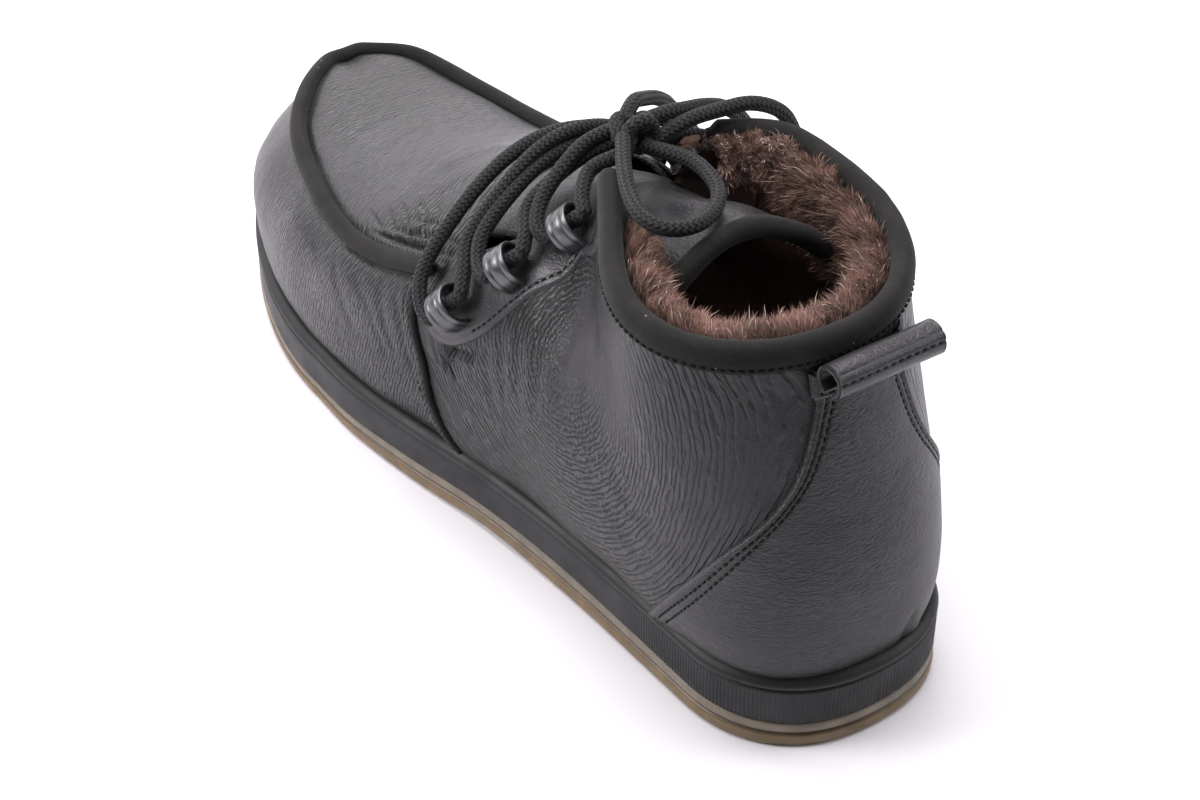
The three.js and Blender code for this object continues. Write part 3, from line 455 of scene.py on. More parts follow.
# Leather: lines across a flow in millimetres (uv), as deep as the tint says, on soft broad swells.
# Where a strength is given there is no flow, and a fine even grain of that strength.
GRAIN = {"Scale": 0.85, "Detail": 1.0, "Roughness": 0.5, "Distortion": 0.3}
GRAIN_LINES = {"Scale": 0.205, "Distortion": 5.5, "Detail": 2.0, "Detail Scale": 1.9}
FLOW_STRETCH, PLAIN_STRETCH = (1.0, 0.42, 1.0), (0.3, 0.3, 1.0)
GRAIN_DEPTH, SWELL_DEPTH = 0.72, 1.6
# Near-black colour painted into the valleys of the grain: painted shade
FURROW_PAINTED_SHADE = (0.002, 0.002, 0.002, 1)


def leather_material(name, dark, light, gloss, strength=None):
    mat, tree, shader, coord = new_material(name, Coat_Weight=0.08, Coat_Roughness=0.28, Specular_IOR_Level=0.44)
    if strength is None:
        flow = node(tree, "ShaderNodeTexCoord").outputs["UV"]
        stretch, amount = FLOW_STRETCH, node(tree, "ShaderNodeVertexColor", layer_name="tint").outputs[0]
    else:
        flow = node(tree, "ShaderNodeVectorMath", {0: coord, 1: (1 / MM,) * 3}, operation="MULTIPLY").outputs[0]
        stretch, amount = PLAIN_STRETCH, strength
    stretched = node(tree, "ShaderNodeMapping", {"Vector": flow, "Scale": stretch}).outputs[0]
    grain = node(tree, "ShaderNodeTexNoise", {"Vector": stretched, **GRAIN}).outputs[0]
    if strength is None:
        inputs = {"Vector": stretched, **GRAIN_LINES}
        lines = node(tree, "ShaderNodeTexWave", inputs, wave_type="BANDS", bands_direction="X").outputs["Fac"]
        furrow = math_node(tree, "MAXIMUM", ramp(tree, lines, 0.0, 0.62), ramp(tree, grain, 0.53, 0.68))
    else:
        off_middle = math_node(tree, "ABSOLUTE", math_node(tree, "SUBTRACT", grain, 0.5))
        furrow = ramp(tree, off_middle, 0.0, 0.11)
    pores = noise(tree, coord, 1.7, 2.0)
    patch = noise(tree, coord, 0.045, 3.0)
    wrinkled = times(tree, amount, ramp(tree, patch, 0.32, 0.6, 0.7, 1.1))
    height = times(tree, math_node(tree, "ADD", furrow, times(tree, grain, 1.1)), wrinkled)
    height = math_node(tree, "ADD", height, times(tree, pores, 0.2))
    broad = bump(tree, shader, noise(tree, coord, 0.06, 2.0), 0.3, SWELL_DEPTH)
    bump(tree, shader, height, 1.0, GRAIN_DEPTH, broad)
    tone = mix_color(tree, ramp(tree, patch, 0.3, 0.7), (*dark, 1), (*light, 1))
    # Painted shade: the lower the grain, the nearer its colour goes to near black
    shaded = times(tree, math_node(tree, "SUBTRACT", 1.0, furrow), wrinkled)
    link(tree, mix_color(tree, times(tree, shaded, 0.95), tone, FURROW_PAINTED_SHADE), shader, "Base Color")
    rough = ramp(tree, patch, 0.3, 0.7, gloss + 0.05, gloss - 0.04)
    link(tree, math_node(tree, "ADD", rough, times(tree, shaded, 0.3)), shader, "Roughness")
    return mat


# Suede and fleece: a soft nap in patches, with a few specks of lint
LINT_COLOR = (0.3, 0.29, 0.28, 1)


def suede_material(name, dark, light, lint):
    mat, tree, shader, coord = new_material(name, Sheen_Weight=0.06, Sheen_Roughness=0.5, Specular_IOR_Level=0.12)
    nap = noise(tree, coord, 1.6, 4.0, 0.7)
    patch = noise(tree, coord, 0.12, 3.0)
    worn = times(tree, nap, ramp(tree, patch, 0.3, 0.7, 0.5, 1.1))
    tone = mix_color(tree, worn, (*dark, 1), (*light, 1))
    spots = node(tree, "ShaderNodeTexVoronoi", {"Vector": coord, "Scale": 0.16 / MM, "Randomness": 1.0}).outputs[0]
    speck = math_node(tree, "LESS_THAN", spots, lint)
    tone = mix_color(tree, times(tree, speck, 0.55), tone, LINT_COLOR)
    link(tree, tone, shader, "Base Color")
    link(tree, ramp(tree, nap, 0.3, 0.7, 0.98, 0.8), shader, "Roughness")
    bump(tree, shader, nap, 0.45, 0.25)
    return mat


# Rubber, stitches, the seam cords of painted shade and lace tips: cloudy tone, faint fine bump
def rubber_material(name, dark, light, rough, **constants):
    mat, tree, shader, coord = new_material(name, **constants)
    cloud = noise(tree, coord, 0.09, 4.0, 0.6)
    fine = noise(tree, coord, 1.1, 3.0, 0.6)
    link(tree, mix_color(tree, ramp(tree, cloud, 0.35, 0.7), (*dark, 1), (*light, 1)), shader, "Base Color")
    link(tree, ramp(tree, cloud, 0.3, 0.7, rough + 0.08, rough - 0.06), shader, "Roughness")
    bump(tree, shader, fine, 0.12, 0.12)
    return mat


# Colour from the mesh's own tint
def tinted_material(name, rough, **constants):
    mat, tree, shader, coord = new_material(name, **constants)
    tint = node(tree, "ShaderNodeVertexColor", layer_name="tint").outputs[0]
    cloud = noise(tree, coord, 0.15, 3.0)
    shade = node(tree, "ShaderNodeHueSaturation", {"Color": tint, "Value": ramp(tree, cloud, 0.3, 0.7, 0.8, 1.2)})
    link(tree, shade.outputs[0], shader, "Base Color")
    link(tree, ramp(tree, cloud, 0.3, 0.7, rough + 0.06, rough - 0.06), shader, "Roughness")
    return mat


# Braid: plaits of two directions that change places in a checker, counted in the tube's own uv
PLAITS_ROUND, PLAITS_PER_MM = 8.0, 0.62
# Braid colours: near black in the valleys, painted shade, up to the lace's black on the plaits
BRAID_VALLEY_SHADE, BRAID_HIGH = (0.002, 0.002, 0.0022, 1), (0.018, 0.018, 0.0195, 1)
BRAID_FUZZ = (0.035, 0.034, 0.034, 1)


def lace_material():
    mat, tree, shader, coord = new_material("lace_braid", Sheen_Weight=0.04, Specular_IOR_Level=0.22)
    uv = node(tree, "ShaderNodeTexCoord").outputs["UV"]
    parts = node(tree, "ShaderNodeSeparateXYZ", {0: uv}).outputs
    around = times(tree, parts[0], PLAITS_ROUND)
    far = times(tree, parts[1], PLAITS_PER_MM)
    p = math_node(tree, "ADD", around, far)
    q = math_node(tree, "SUBTRACT", around, far)
    heights = [math_node(tree, "SINE", times(tree, math_node(tree, "FRACT", v), math.pi)) for v in (p, q)]
    cells = math_node(tree, "ADD", math_node(tree, "FLOOR", p), math_node(tree, "FLOOR", q))
    over = math_node(tree, "PINGPONG", cells, 1.0)
    height = node(tree, "ShaderNodeMix", {0: over, 2: heights[0], 3: heights[1]}, data_type="FLOAT").outputs[0]
    fuzz = noise(tree, coord, 1.5, 3.0)
    # Painted shade: darker towards the valleys between the plaits
    tone = mix_color(tree, ramp(tree, height, 0.2, 1.0), BRAID_VALLEY_SHADE, BRAID_HIGH)
    link(tree, mix_color(tree, times(tree, fuzz, 0.3), tone, BRAID_FUZZ), shader, "Base Color")
    link(tree, ramp(tree, fuzz, 0.3, 0.7, 0.8, 0.6), shader, "Roughness")
    bump(tree, shader, math_node(tree, "ADD", height, times(tree, fuzz, 0.15)), 0.9, 0.35)
    return mat


def metal_material():
    mat, tree, shader, coord = new_material("gunmetal", Metallic=1.0)
    brushed = noise(tree, coord, 0.8, 4.0, 0.6, (1, 1, 0.15))
    tarnish = noise(tree, coord, 0.25, 3.0)
    tone = mix_color(tree, ramp(tree, tarnish, 0.3, 0.7), (0.11, 0.11, 0.113, 1), (0.15, 0.15, 0.154, 1))
    link(tree, tone, shader, "Base Color")
    link(tree, ramp(tree, brushed, 0.3, 0.7, 0.33, 0.43), shader, "Roughness")
    bump(tree, shader, brushed, 0.12, 0.1)
    return mat


HIDE_DARK, HIDE_LIGHT = (0.0115, 0.0108, 0.0118), (0.018, 0.0172, 0.0185)
LEATHER = leather_material("leather_grain", HIDE_DARK, HIDE_LIGHT, 0.38)
SMOOTH = leather_material("leather_smooth", HIDE_DARK, HIDE_LIGHT, 0.4, 0.14)
# Painted light: the hide's colours made lighter to stand for the lit top of the pull tab; used on the tab and the
# facings
LIT_SATIN = leather_material("leather_satin_lit", (0.018, 0.017, 0.0185), (0.026, 0.0248, 0.0267), 0.38, 0.05)
SUEDE = suede_material("suede_trim", (0.007, 0.0067, 0.0063), (0.026, 0.025, 0.0237), 0.045)
# Painted light: the lining's brown made several times lighter, so that the tongue's underside shows brown in its
# shade
TONGUE_LINING_LIT = suede_material("tongue_fleece_lit", (0.3, 0.185, 0.145), (0.6, 0.4, 0.32), 0.0)
LINING = suede_material("lining_fleece", (0.05, 0.028, 0.02), (0.15, 0.09, 0.066), 0.0)
BLACK_DARK, BLACK_LIGHT = (0.011, 0.011, 0.0115), (0.018, 0.018, 0.0185)
BLACK_RUBBER = rubber_material("rubber_black", BLACK_DARK, BLACK_LIGHT, 0.48, Specular_IOR_Level=0.3)
AMBER = tinted_material("rubber_amber", 0.4, Subsurface_Weight=0.5, Subsurface_Scale=0.004, Specular_IOR_Level=0.5)
FUR = tinted_material("shearling", 0.75, Sheen_Weight=0.3, Specular_IOR_Level=0.2)
THREAD_AND_SEAM_SHADE = rubber_material("thread_and_seam_shade", (0.003, 0.003, 0.0032), (0.007, 0.007, 0.0075), 0.7, Specular_IOR_Level=0.2)
LACE = lace_material()
METAL = metal_material()
AGLET = rubber_material("aglet", (0.01, 0.01, 0.011), (0.016, 0.016, 0.017), 0.3, Coat_Weight=0.4)


# Camera, floor and light
def stand(thing, axes, spot):
    rows = [[*axis, p] for axis, p in zip(np.stack(axes, -1), spot)]
    thing.matrix_world = Matrix(rows + [[0, 0, 0, 1]])
    bpy.context.scene.collection.objects.link(thing)


eye = row_frame(EYE)
back = unit(eye - row_frame(AIM))
right = unit(np.cross([0, 0, 1], back))
camera_data = bpy.data.cameras.new("camera")
camera_data.lens = LENS
camera_data.sensor_width = SENSOR
camera = bpy.data.objects.new("camera", camera_data)
stand(camera, (right, np.cross(back, right), back), eye)
bpy.context.scene.camera = camera

HALF_FLOOR, FLOOR_ROUGH = 4000.0, 0.7
FLOOR_TONES = (0.8, 0.795, 0.82, 1), (0.83, 0.825, 0.85, 1)
floor_look = new_material("floor", Specular_IOR_Level=0.2, Roughness=FLOOR_ROUGH)
floor_mat, floor_tree, floor_shader, floor_coord = floor_look
floor_tone = mix_color(floor_tree, noise(floor_tree, floor_coord, 0.004), *FLOOR_TONES)
link(floor_tree, floor_tone, floor_shader, "Base Color")
corners = np.array([[-1, -1, 0], [1, -1, 0], [1, 1, 0], [-1, 1, 0]]) * HALF_FLOOR
make_piece("floor", corners, np.array([[0, 1, 2, 3]]), floor_mat, ride=False)

WORLD_TINT, WORLD_LIGHT, LIGHT_TINT = (1, 0.98, 1, 1), 0.16, (1.0, 0.965, 1.0)
world = bpy.data.worlds.new("studio")
world.use_nodes = True
world.node_tree.nodes["Background"].inputs[0].default_value = WORLD_TINT
world.node_tree.nodes["Background"].inputs[1].default_value = WORLD_LIGHT
bpy.context.scene.world = world
bpy.context.scene.view_settings.view_transform = "Standard"
# Name, place, aim, size and power of each soft box
LIGHTS = [
    ("top", (250, -60, 950), (130, 0, 40), (800, 800), 13),
    ("far", (1050, -160, 380), (180, 0, 60), (650, 1500), 7.8),
    ("left", (520, 760, 620), (230, 330, 0), (450, 450), 8.4),
    ("right", (-350, -750, 520), (100, 0, 60), (600, 600), 4),
    ("fill", (-420, 420, 640), (70, 0, 90), (300, 300), 0.2),
]
for name, spot, target, size, power in LIGHTS:
    data = bpy.data.lights.new(name, "AREA")
    data.shape = "RECTANGLE"
    data.size, data.size_y = size[0] * MM, size[1] * MM
    data.energy = power
    data.color = LIGHT_TINT
    lamp = bpy.data.objects.new(name, data)
    away = unit(row_frame(spot) - row_frame(target))
    across = unit(np.cross([0.02, 1, 0.01], away))
    stand(lamp, (across, np.cross(away, across), away), row_frame(spot))

# Sole: edge curve of the source at fine steps
HEEL_ARC, HEEL_HALF, HEEL_POWER = 36.0, 37.2, 2.26
TOE_TIP_Y = -14.0
TOE = {1: (207.0, 47.9, 1.9), -1: (222.0, 53.0, 2.3)}
WAIST = np.array([(36, 37.2, 37.2), (89, 38, 36.2), (128, 41.2, 36.8), (159, 46.1, 41.6), (186, 48.7, 48),
                  (207, 47.9, 51.8), (222, 47, 53)])
LEVELS = np.array([(0, 8, 19.8, 23.4), (60, 8.8, 19.8, 23.2), (110, 9.2, 19.2, 22.6), (160, 8, 18.2, 21.6),
                   (210, 5.8, 16.4, 20), (304, 4.6, 15, 18.4)])
SPRING_FROM, SPRING_RISE = 207.0, 15.5
ARCH_FROM, ARCH_TO, ARCH_RISE = 92.0, 152.0, 1.2
RIB_PITCH, RIB_DEPTH, RIB_TO = 1.15, 0.2, 62.0
TREAD_WIDTH, TREAD_DEPTH, TREAD_PITCH, TREAD_MARGIN = 3.0, 1.6, 11.0, 13.0
TREAD_RUNS = ((20, 86), (156, 206))


def along(table, at, column):
    at = np.asarray(at, float)
    x, y = table[:, 0], table[:, column]
    last = len(x) - 1
    i = np.clip(np.searchsorted(x, at, side="left") - 1, 0, last - 1)
    before, after = np.maximum(i - 1, 0), np.minimum(i + 2, last)
    span = x[i + 1] - x[i]
    t = np.clip((at - x[i]) / span, 0, 1)
    slope_a = (y[i + 1] - y[before]) / (x[i + 1] - x[before])
    slope_b = (y[after] - y[i]) / (x[after] - x[i])
    return hermite(y[i], slope_a * span, y[i + 1], slope_b * span, t)


def spring(x):
    return SPRING_RISE * np.maximum(0, (x - SPRING_FROM) / (SOLE_LENGTH - SPRING_FROM)) ** 2


def ground(x):
    return spring(x) + ARCH_RISE * np.sin(np.pi * np.clip((x - ARCH_FROM) / (ARCH_TO - ARCH_FROM), 0, 1)) ** 2


def level(x, column):
    return spring(x) + along(LEVELS, x, column)


def sole_edge(sign, u):
    u = np.asarray(u, float)
    start, half, power = TOE[sign]
    turn = np.clip(u, 0, 1) * np.pi / 2
    bend = 2 / HEEL_POWER
    heel = np.stack([HEEL_ARC * (1 - np.cos(turn) ** bend), sign * HEEL_HALF * np.sin(turn) ** bend], -1)
    x = HEEL_ARC + (start - HEEL_ARC) * np.clip(u - 1, 0, 1)
    waist = np.stack([x, sign * along(WAIST, x, 1 if sign > 0 else 2)], -1)
    turn = np.clip(u - 2, 0, 1) * np.pi / 2
    reach, width = np.sin(turn) ** (2 / power), np.clip(np.cos(turn), 0, 1) ** (2 / power)
    toe = np.stack([start + (SOLE_LENGTH - start) * reach, TOE_TIP_Y + (sign * half - TOE_TIP_Y) * width], -1)
    return np.where((u <= 1)[:, None], heel, np.where((u <= 2)[:, None], waist, toe))


# Even steps round the whole edge, finer where the ribs are
def edge_loop(step, rib_step):
    loop = []
    for sign in (1, -1):
        fine = sole_edge(sign, np.linspace(0, 3, 6001))
        ribbed = fine[fine[:, 0] <= RIB_TO]
        rest = fine[fine[:, 0] > RIB_TO]
        half = np.vstack([resample(ribbed, rib_step)[:-1], resample(np.vstack([ribbed[-1:], rest]), step)])
        loop.append(half if sign > 0 else half[1:-1][::-1])
    return np.vstack(loop), len(loop[0])


# Closed sole body from levels: outward offset (a number or one per place) and height at x
def sole_body(loop, outer_count, levels, close_low=True, close_high=True):
    run = unit(np.roll(loop, -1, 0) - np.roll(loop, 1, 0))
    normal = np.stack([-run[:, 1], run[:, 0]], -1)
    rings = []
    for out, z in levels:
        q = loop + normal * np.broadcast_to(np.asarray(out, float), len(loop))[:, None]
        rings.append(np.concatenate([q, z(q[:, 0])[:, None]], 1))
    points = np.vstack(rings)
    n = len(loop)
    faces = [grid_faces(len(rings), n, True)[:, ::-1]]
    i = np.arange(outer_count - 1)
    other = (n - i) % n
    after = (n - i - 1) % n
    quads = np.stack([i, i + 1, after, other], -1)[1:-1]
    tips = np.array([[0, 1, n - 1], [outer_count - 2, outer_count - 1, outer_count]])
    for wanted, start, flip in ((close_low, 0, False), (close_high, (len(rings) - 1) * n, True)):
        if wanted:
            faces += [f[:, ::-1] + start if flip else f + start for f in (quads, tips)]
    return points, faces, rings


EDGE_STEP, TREAD_EDGE_STEP, INSOLE_STEP = 1.6, 1.5, 4.0
RIB_STEPS, RIB_FADE = 6, 6.0
loop, outer_count = edge_loop(EDGE_STEP, RIB_PITCH / RIB_STEPS)
ribbed = 0.5 - 0.5 * np.cos(2 * np.pi * travelled(loop) / RIB_PITCH)
rib = -RIB_DEPTH * ribbed * grade(RIB_TO - loop[:, 0], 0, RIB_FADE)


def at_level(column, drop):
    return lambda x: level(x, column) - drop


# Ribbed wall of the midsole, at a share of the way between its rounded edges
def at_wall(share):
    return lambda x: level(x, 1) + 1.4 + (level(x, 2) - level(x, 1) - 2.6) * share


# Lip of the midsole and edge of the insole: outward offset, column of the levels, drop below it
MIDSOLE_LIP = [(0.1, 2, 0.55), (-0.55, 2, 0.15), (-0.7, 2, 0), (-0.35, 2, -0.15), (0.1, 2, -0.5), (0.3, 2, -1.1),
               (0.15, 3, 1.9), (-0.4, 3, 1.2), (-1.2, 3, 0.5), (-2.0, 3, 0.12), (-2.9, 3, 0)]
INSOLE_EDGE = [(-10.4, 3, -0.7), (-10.2, 3, -1.6), (-10.6, 3, -2.7), (-11.8, 3, -3.2)]
midsole_levels = [(-3.0, at_level(1, -0.3)), (rib, at_level(1, -0.35)), (rib + 0.05, at_level(1, -1.4))]
midsole_levels += [(rib + 0.1 + 0.03 * k, at_wall(k / 4)) for k in (1, 2, 3)] + [(rib + 0.2, at_level(2, 1.1))]
midsole_levels += [(out, at_level(column, drop)) for out, column, drop in MIDSOLE_LIP]
points, faces, _ = sole_body(loop, outer_count, midsole_levels)
make_piece("midsole_wall", points, faces, BLACK_RUBBER, ["midsole"])

# Outsole: two beads with a groove, as outward offset and share of the height, and a tread of finer steps
OUTSOLE_BEADS = [(-1.5, 0.0), (-0.75, 0.03), (-0.2, 0.09), (0.12, 0.18), (0.22, 0.32), (0.12, 0.46), (-0.3, 0.53),
                 (-0.8, 0.565), (-0.75, 0.6), (-0.15, 0.65), (0.1, 0.74), (0.08, 0.86), (-0.25, 0.97), (-0.5, 1.0)]
GROOVE_FROM, GROOVE_TO = 0.5, 0.63
AMBER_LOW, AMBER_HIGH = np.array([0.16, 0.112, 0.055]), np.array([0.17, 0.148, 0.11])
# Darker amber in the groove between the two beads: painted shade
AMBER_GROOVE_SHADE, TREAD_SHADE = np.array([0.08, 0.056, 0.03]), 0.85
TREAD_STEPS, ACROSS = 420, 44
TREAD_SPILL, GROOVE_SLOPE, GROOVE_END = 3, 0.7, 0.8
PIP_HEIGHT, PIP_PITCH, PIP_HALF = 0.12, 2.2, 30


def share_level(share):
    return lambda x: ground(x) + (level(x, 1) - ground(x)) * share


loop, outer_count = edge_loop(TREAD_EDGE_STEP, TREAD_EDGE_STEP)
outsole_levels = [(out, share_level(share)) for out, share in OUTSOLE_BEADS]
points, faces, rings = sole_body(loop, outer_count, outsole_levels, close_low=False)
shares = np.array(OUTSOLE_BEADS)[:, 1:]
tones = np.where(shares < GROOVE_FROM, AMBER_LOW, np.where(shares < GROOVE_TO, AMBER_GROOVE_SHADE, AMBER_HIGH))
tint = np.repeat(tones, len(loop), 0)
n = len(loop)
outer_low = rings[0][:outer_count]
inner_low = rings[0][(n - np.arange(outer_count)) % n]
inner_low[-1] = outer_low[-1]
steps, index = np.linspace(0, 1, TREAD_STEPS), np.linspace(0, 1, outer_count)
outer_fine, inner_fine = (sample(side, index, steps) for side in (outer_low, inner_low))
mixes = (0.5 - 0.5 * np.cos(np.linspace(0, np.pi, ACROSS)))[None, :, None]
tread = outer_fine[:, None] + (inner_fine - outer_fine)[:, None] * mixes
x, y = tread[..., 0], tread[..., 1]
cut = np.zeros_like(x)
for first, last in TREAD_RUNS:
    inside = (x > first - TREAD_SPILL) & (x < last + TREAD_SPILL)
    phase = abs((x - first + TREAD_PITCH / 2) % TREAD_PITCH - TREAD_PITCH / 2)
    groove = grade(TREAD_WIDTH / 2 + GROOVE_SLOPE / 2 - phase, 0, GROOVE_SLOPE)
    out_room = along(WAIST, np.maximum(x, HEEL_ARC), 1) - TREAD_MARGIN - y
    in_room = along(WAIST, np.maximum(x, HEEL_ARC), 2) - TREAD_MARGIN + y
    cut = np.maximum(cut, groove * inside * grade(np.minimum(out_room, in_room), 0, GROOVE_END))
pips = PIP_HEIGHT * np.cos(x * 2 * np.pi / PIP_PITCH) * np.cos(y * 2 * np.pi / PIP_PITCH) * (abs(y) < PIP_HALF)
tread[..., 2] = ground(x) + TREAD_DEPTH * cut + np.maximum(0, pips) * (1 - cut)
faces.append(grid_faces(TREAD_STEPS, ACROSS) + len(points))
points = np.vstack([points, tread.reshape(-1, 3)])
tint = np.vstack([tint, np.repeat(AMBER_LOW[None] * TREAD_SHADE, TREAD_STEPS * ACROSS, 0)])
make_piece("outsole_rubber", points, faces, AMBER, ["outsole"], tint=tint)

loop, outer_count = edge_loop(INSOLE_STEP, INSOLE_STEP)
insole_levels = [(out, at_level(column, drop)) for out, column, drop in INSOLE_EDGE]
points, faces, _ = sole_body(loop, outer_count, insole_levels)
make_piece("insole_fleece", points, faces, LINING, ["insole"])

# Leather: creases, ridges and seams, each with points on the boot, half width and height
SEAM_POINTS = [(152, 71.5), (151, 64), (149, 51), (147.4, 38), (142.4, 29.5), (137, 22)]
CREASES = [
    # Wrinkles at the rear outer corner of the plug, beside the piping
    ([(186, 38, 70), (178, 37.5, 71.5), (170, 37, 73.5), (162, 36.5, 76), (154, 36, 79), (146, 35.5, 82)],
     0.55, -1.2),
    ([(182, 36.5, 72), (174, 35.8, 74), (166, 35, 76.5), (158, 34.6, 79.5), (150, 34, 82.5)], 0.7, 0.93),
    ([(178, 35, 73.5), (170, 34, 76), (162, 33.3, 79), (154, 33, 82), (147, 32.8, 84.5)], 0.55, -0.99),
    ([(174, 33, 76), (166, 32, 79), (158, 31.6, 82), (150, 31.5, 85)], 0.7, 0.68),
    ([(176, 31, 77.5), (168, 30.3, 80), (160, 30, 83), (152, 30, 86)], 0.55, -0.74),
    ([(190, 30, 73), (184, 32.5, 73), (178, 35, 72.8), (173, 37, 72.5)], 0.55, -0.81),
    ([(186, 27.5, 75.5), (180, 30, 75.5), (174, 32.8, 75.5), (168, 35.5, 75)], 0.55, -0.87),
    ([(180, 25.5, 79), (174, 28, 79), (168, 31, 78.6), (163, 34, 77.5)], 0.55, -0.81),
    ([(173, 24.5, 82.5), (168, 27.5, 82), (163, 30.5, 81), (158, 33.5, 79.5)], 0.55, -0.74),
    ([(183, 29.5, 75.5), (177, 32, 75.5), (171, 34.5, 74.8)], 0.7, 0.68),
    ([(177, 27.5, 78.8), (171, 30, 78.6), (166, 32.7, 77.8)], 0.7, 0.68),
    ([(170, 26.5, 82), (165, 29.3, 81.4), (160, 32.2, 80)], 0.7, 0.56),
    ([(196, 33, 70), (190, 34.5, 70.5), (184, 36, 71)], 0.55, -0.56),
    # Flex creases across the plug
    ([(192, 24, 74), (197, 15, 75), (201, 9, 75), (207, 0, 74), (210, -10, 73)], 1.4, -0.5),
    ([(212, 18, 70), (217, 12, 70), (222, 4, 70), (225, -5, 70), (225, -13, 70)], 1.5, -0.4),
    ([(191, 29, 72), (198, 20, 73), (208, 9, 73), (216, -1, 72), (221, -13, 70)], 1.4, -0.45),
    ([(230, 20, 67), (235, 10, 68), (238, -2, 68), (238, -14, 67)], 1.6, -0.3),
    ([(184, 27, 76), (188, 18, 78), (193, 8, 79), (196, -6, 78)], 1.5, -0.35),
    # Soft ridge before the laces, with its hollow
    ([(190, 14, 78), (186, 3, 82), (182, -5, 84), (176, -10, 87)], 5.0, 1.4),
    ([(176, 24, 80), (170, 16, 86), (166, 8, 90)], 5.0, -1.0),
    ([(200, 6, 76), (198, -6, 77), (196, -18, 76)], 6.0, -0.7),
    # Pucker below the first loop
    ([(138, 45, 60.5), (133, 44.5, 60), (128, 43.5, 62), (124, 42.5, 65)], 0.9, -2.1),
    ([(139, 45, 58.5), (134, 44.5, 58), (129, 43.5, 59.5)], 0.9, 1.4),
    ([(138, 45, 56.5), (134, 44.5, 56), (130, 43.5, 57)], 0.8, -1.7),
    ([(140, 45, 60), (139.5, 45, 56), (137.5, 44.5, 51)], 0.8, -1.1),
    ([(137, 45, 57), (136, 44.5, 53), (134, 44, 49)], 0.8, -0.98),
    ([(143, 45.5, 61), (142.5, 45.5, 57), (141, 45, 52)], 0.9, -0.84),
    ([(130, 43.5, 58.5), (127.5, 43, 60.5), (125.5, 42.5, 63)], 0.8, 0.98),
    # Soft upright folds of the outer quarter
    ([(120, 41, 71), (120, 42, 65), (119, 42, 56), (117, 42, 50)], 1.9, -0.6),
    ([(116, 39, 77), (114, 41, 70), (113, 42, 63), (111, 42, 54)], 2.0, -0.55),
    ([(110, 38, 82), (107, 41, 74), (105, 42, 64), (103, 42, 54)], 2.2, -0.5),
    ([(103, 36, 90), (100, 40, 80), (97, 42, 68), (95, 42, 58)], 2.3, -0.45),
    ([(95, 36, 95), (91, 40, 84), (88, 42, 72)], 2.4, -0.4),
    ([(86, 38, 98), (82, 41, 86), (79, 42, 74)], 2.4, -0.4),
    ([(76, 39, 100), (72, 42, 88), (70, 43, 78)], 2.5, -0.35),
    ([(62, 42, 66), (54, 42, 61), (41, 42, 58), (30, 40, 58)], 3.0, -0.5),
    ([(70, 42, 56), (58, 42, 51), (46, 42, 49)], 3.0, -0.45),
    # Vamp beside the seam
    ([(160, 45, 66), (157, 47, 57), (156, 46, 45), (152, 45, 38)], 1.7, -0.5),
    ([(168, 45, 64), (165, 48, 54), (162, 48, 42)], 1.8, -0.5),
    ([(183, 46, 61), (174, 48, 56), (169, 48, 48), (166, 47, 38)], 1.9, -0.45),
    ([(194, 46, 59), (186, 50, 50), (181, 50, 40)], 2.0, -0.4),
    ([(228, 38, 59), (214, 43, 57), (199, 47, 56)], 1.8, -0.4),
    # Inner side: vamp folds and quarter folds
    ([(205, -43, 60), (196, -46, 47), (190, -46, 35)], 2.2, -0.6),
    ([(190, -42, 63), (182, -45, 50), (176, -45, 36)], 2.2, -0.55),
    ([(172, -41, 68), (165, -44, 55), (160, -43, 42)], 2.0, -0.5),
    ([(120, -40, 78), (113, -42, 62), (108, -42, 46)], 2.6, -0.6),
    ([(108, -40, 84), (102, -42, 68), (97, -42, 52)], 2.6, -0.5),
    ([(96, -41, 88), (90, -43, 72), (86, -43, 56)], 2.6, -0.5),
    ([(70, -43, 90), (65, -44, 72), (61, -43, 54)], 2.8, -0.45),
    # Nick at the foot of the heel, on the inner half
    ([(4.5, -9, 23), (3.2, -10, 28), (3.6, -11.5, 33)], 1.3, -0.9),
    ([(5.5, -13.5, 23), (4.5, -14, 28)], 1.3, 0.6),
]
START_S = ((0, 28, 62, 100, 140, 172, 200, 255, 302), (14, 12.5, 11, 10, 9, 8, 7, 5, 0.5))


def on_last(line):
    line = np.array(line, float)
    sign = 1 if line[:, 1].mean() > 0 else -1
    s, a = place(sign, line, (0, 1, 2), (np.interp(line[:, 0], *START_S), 0.6), 0.02)
    return last_point(s, sign, a)


# Distance of each point from a line, and the share of the line's length where it is nearest
def reach_to(points, line):
    best = np.full(len(points), 1e9)
    total = length_of(line)
    share = np.zeros(len(points))
    gone = 0.0
    for a, b in zip(line[:-1], line[1:]):
        run = b - a
        size = float(np.linalg.norm(run))
        t = np.clip((points - a) @ run / size ** 2, 0, 1)
        gap = np.linalg.norm(points - a - t[:, None] * run, axis=1)
        nearer = gap < best
        share = np.where(nearer, (gone + t * size) / total, share)
        best = np.minimum(best, gap)
        gone += size
    return best, share


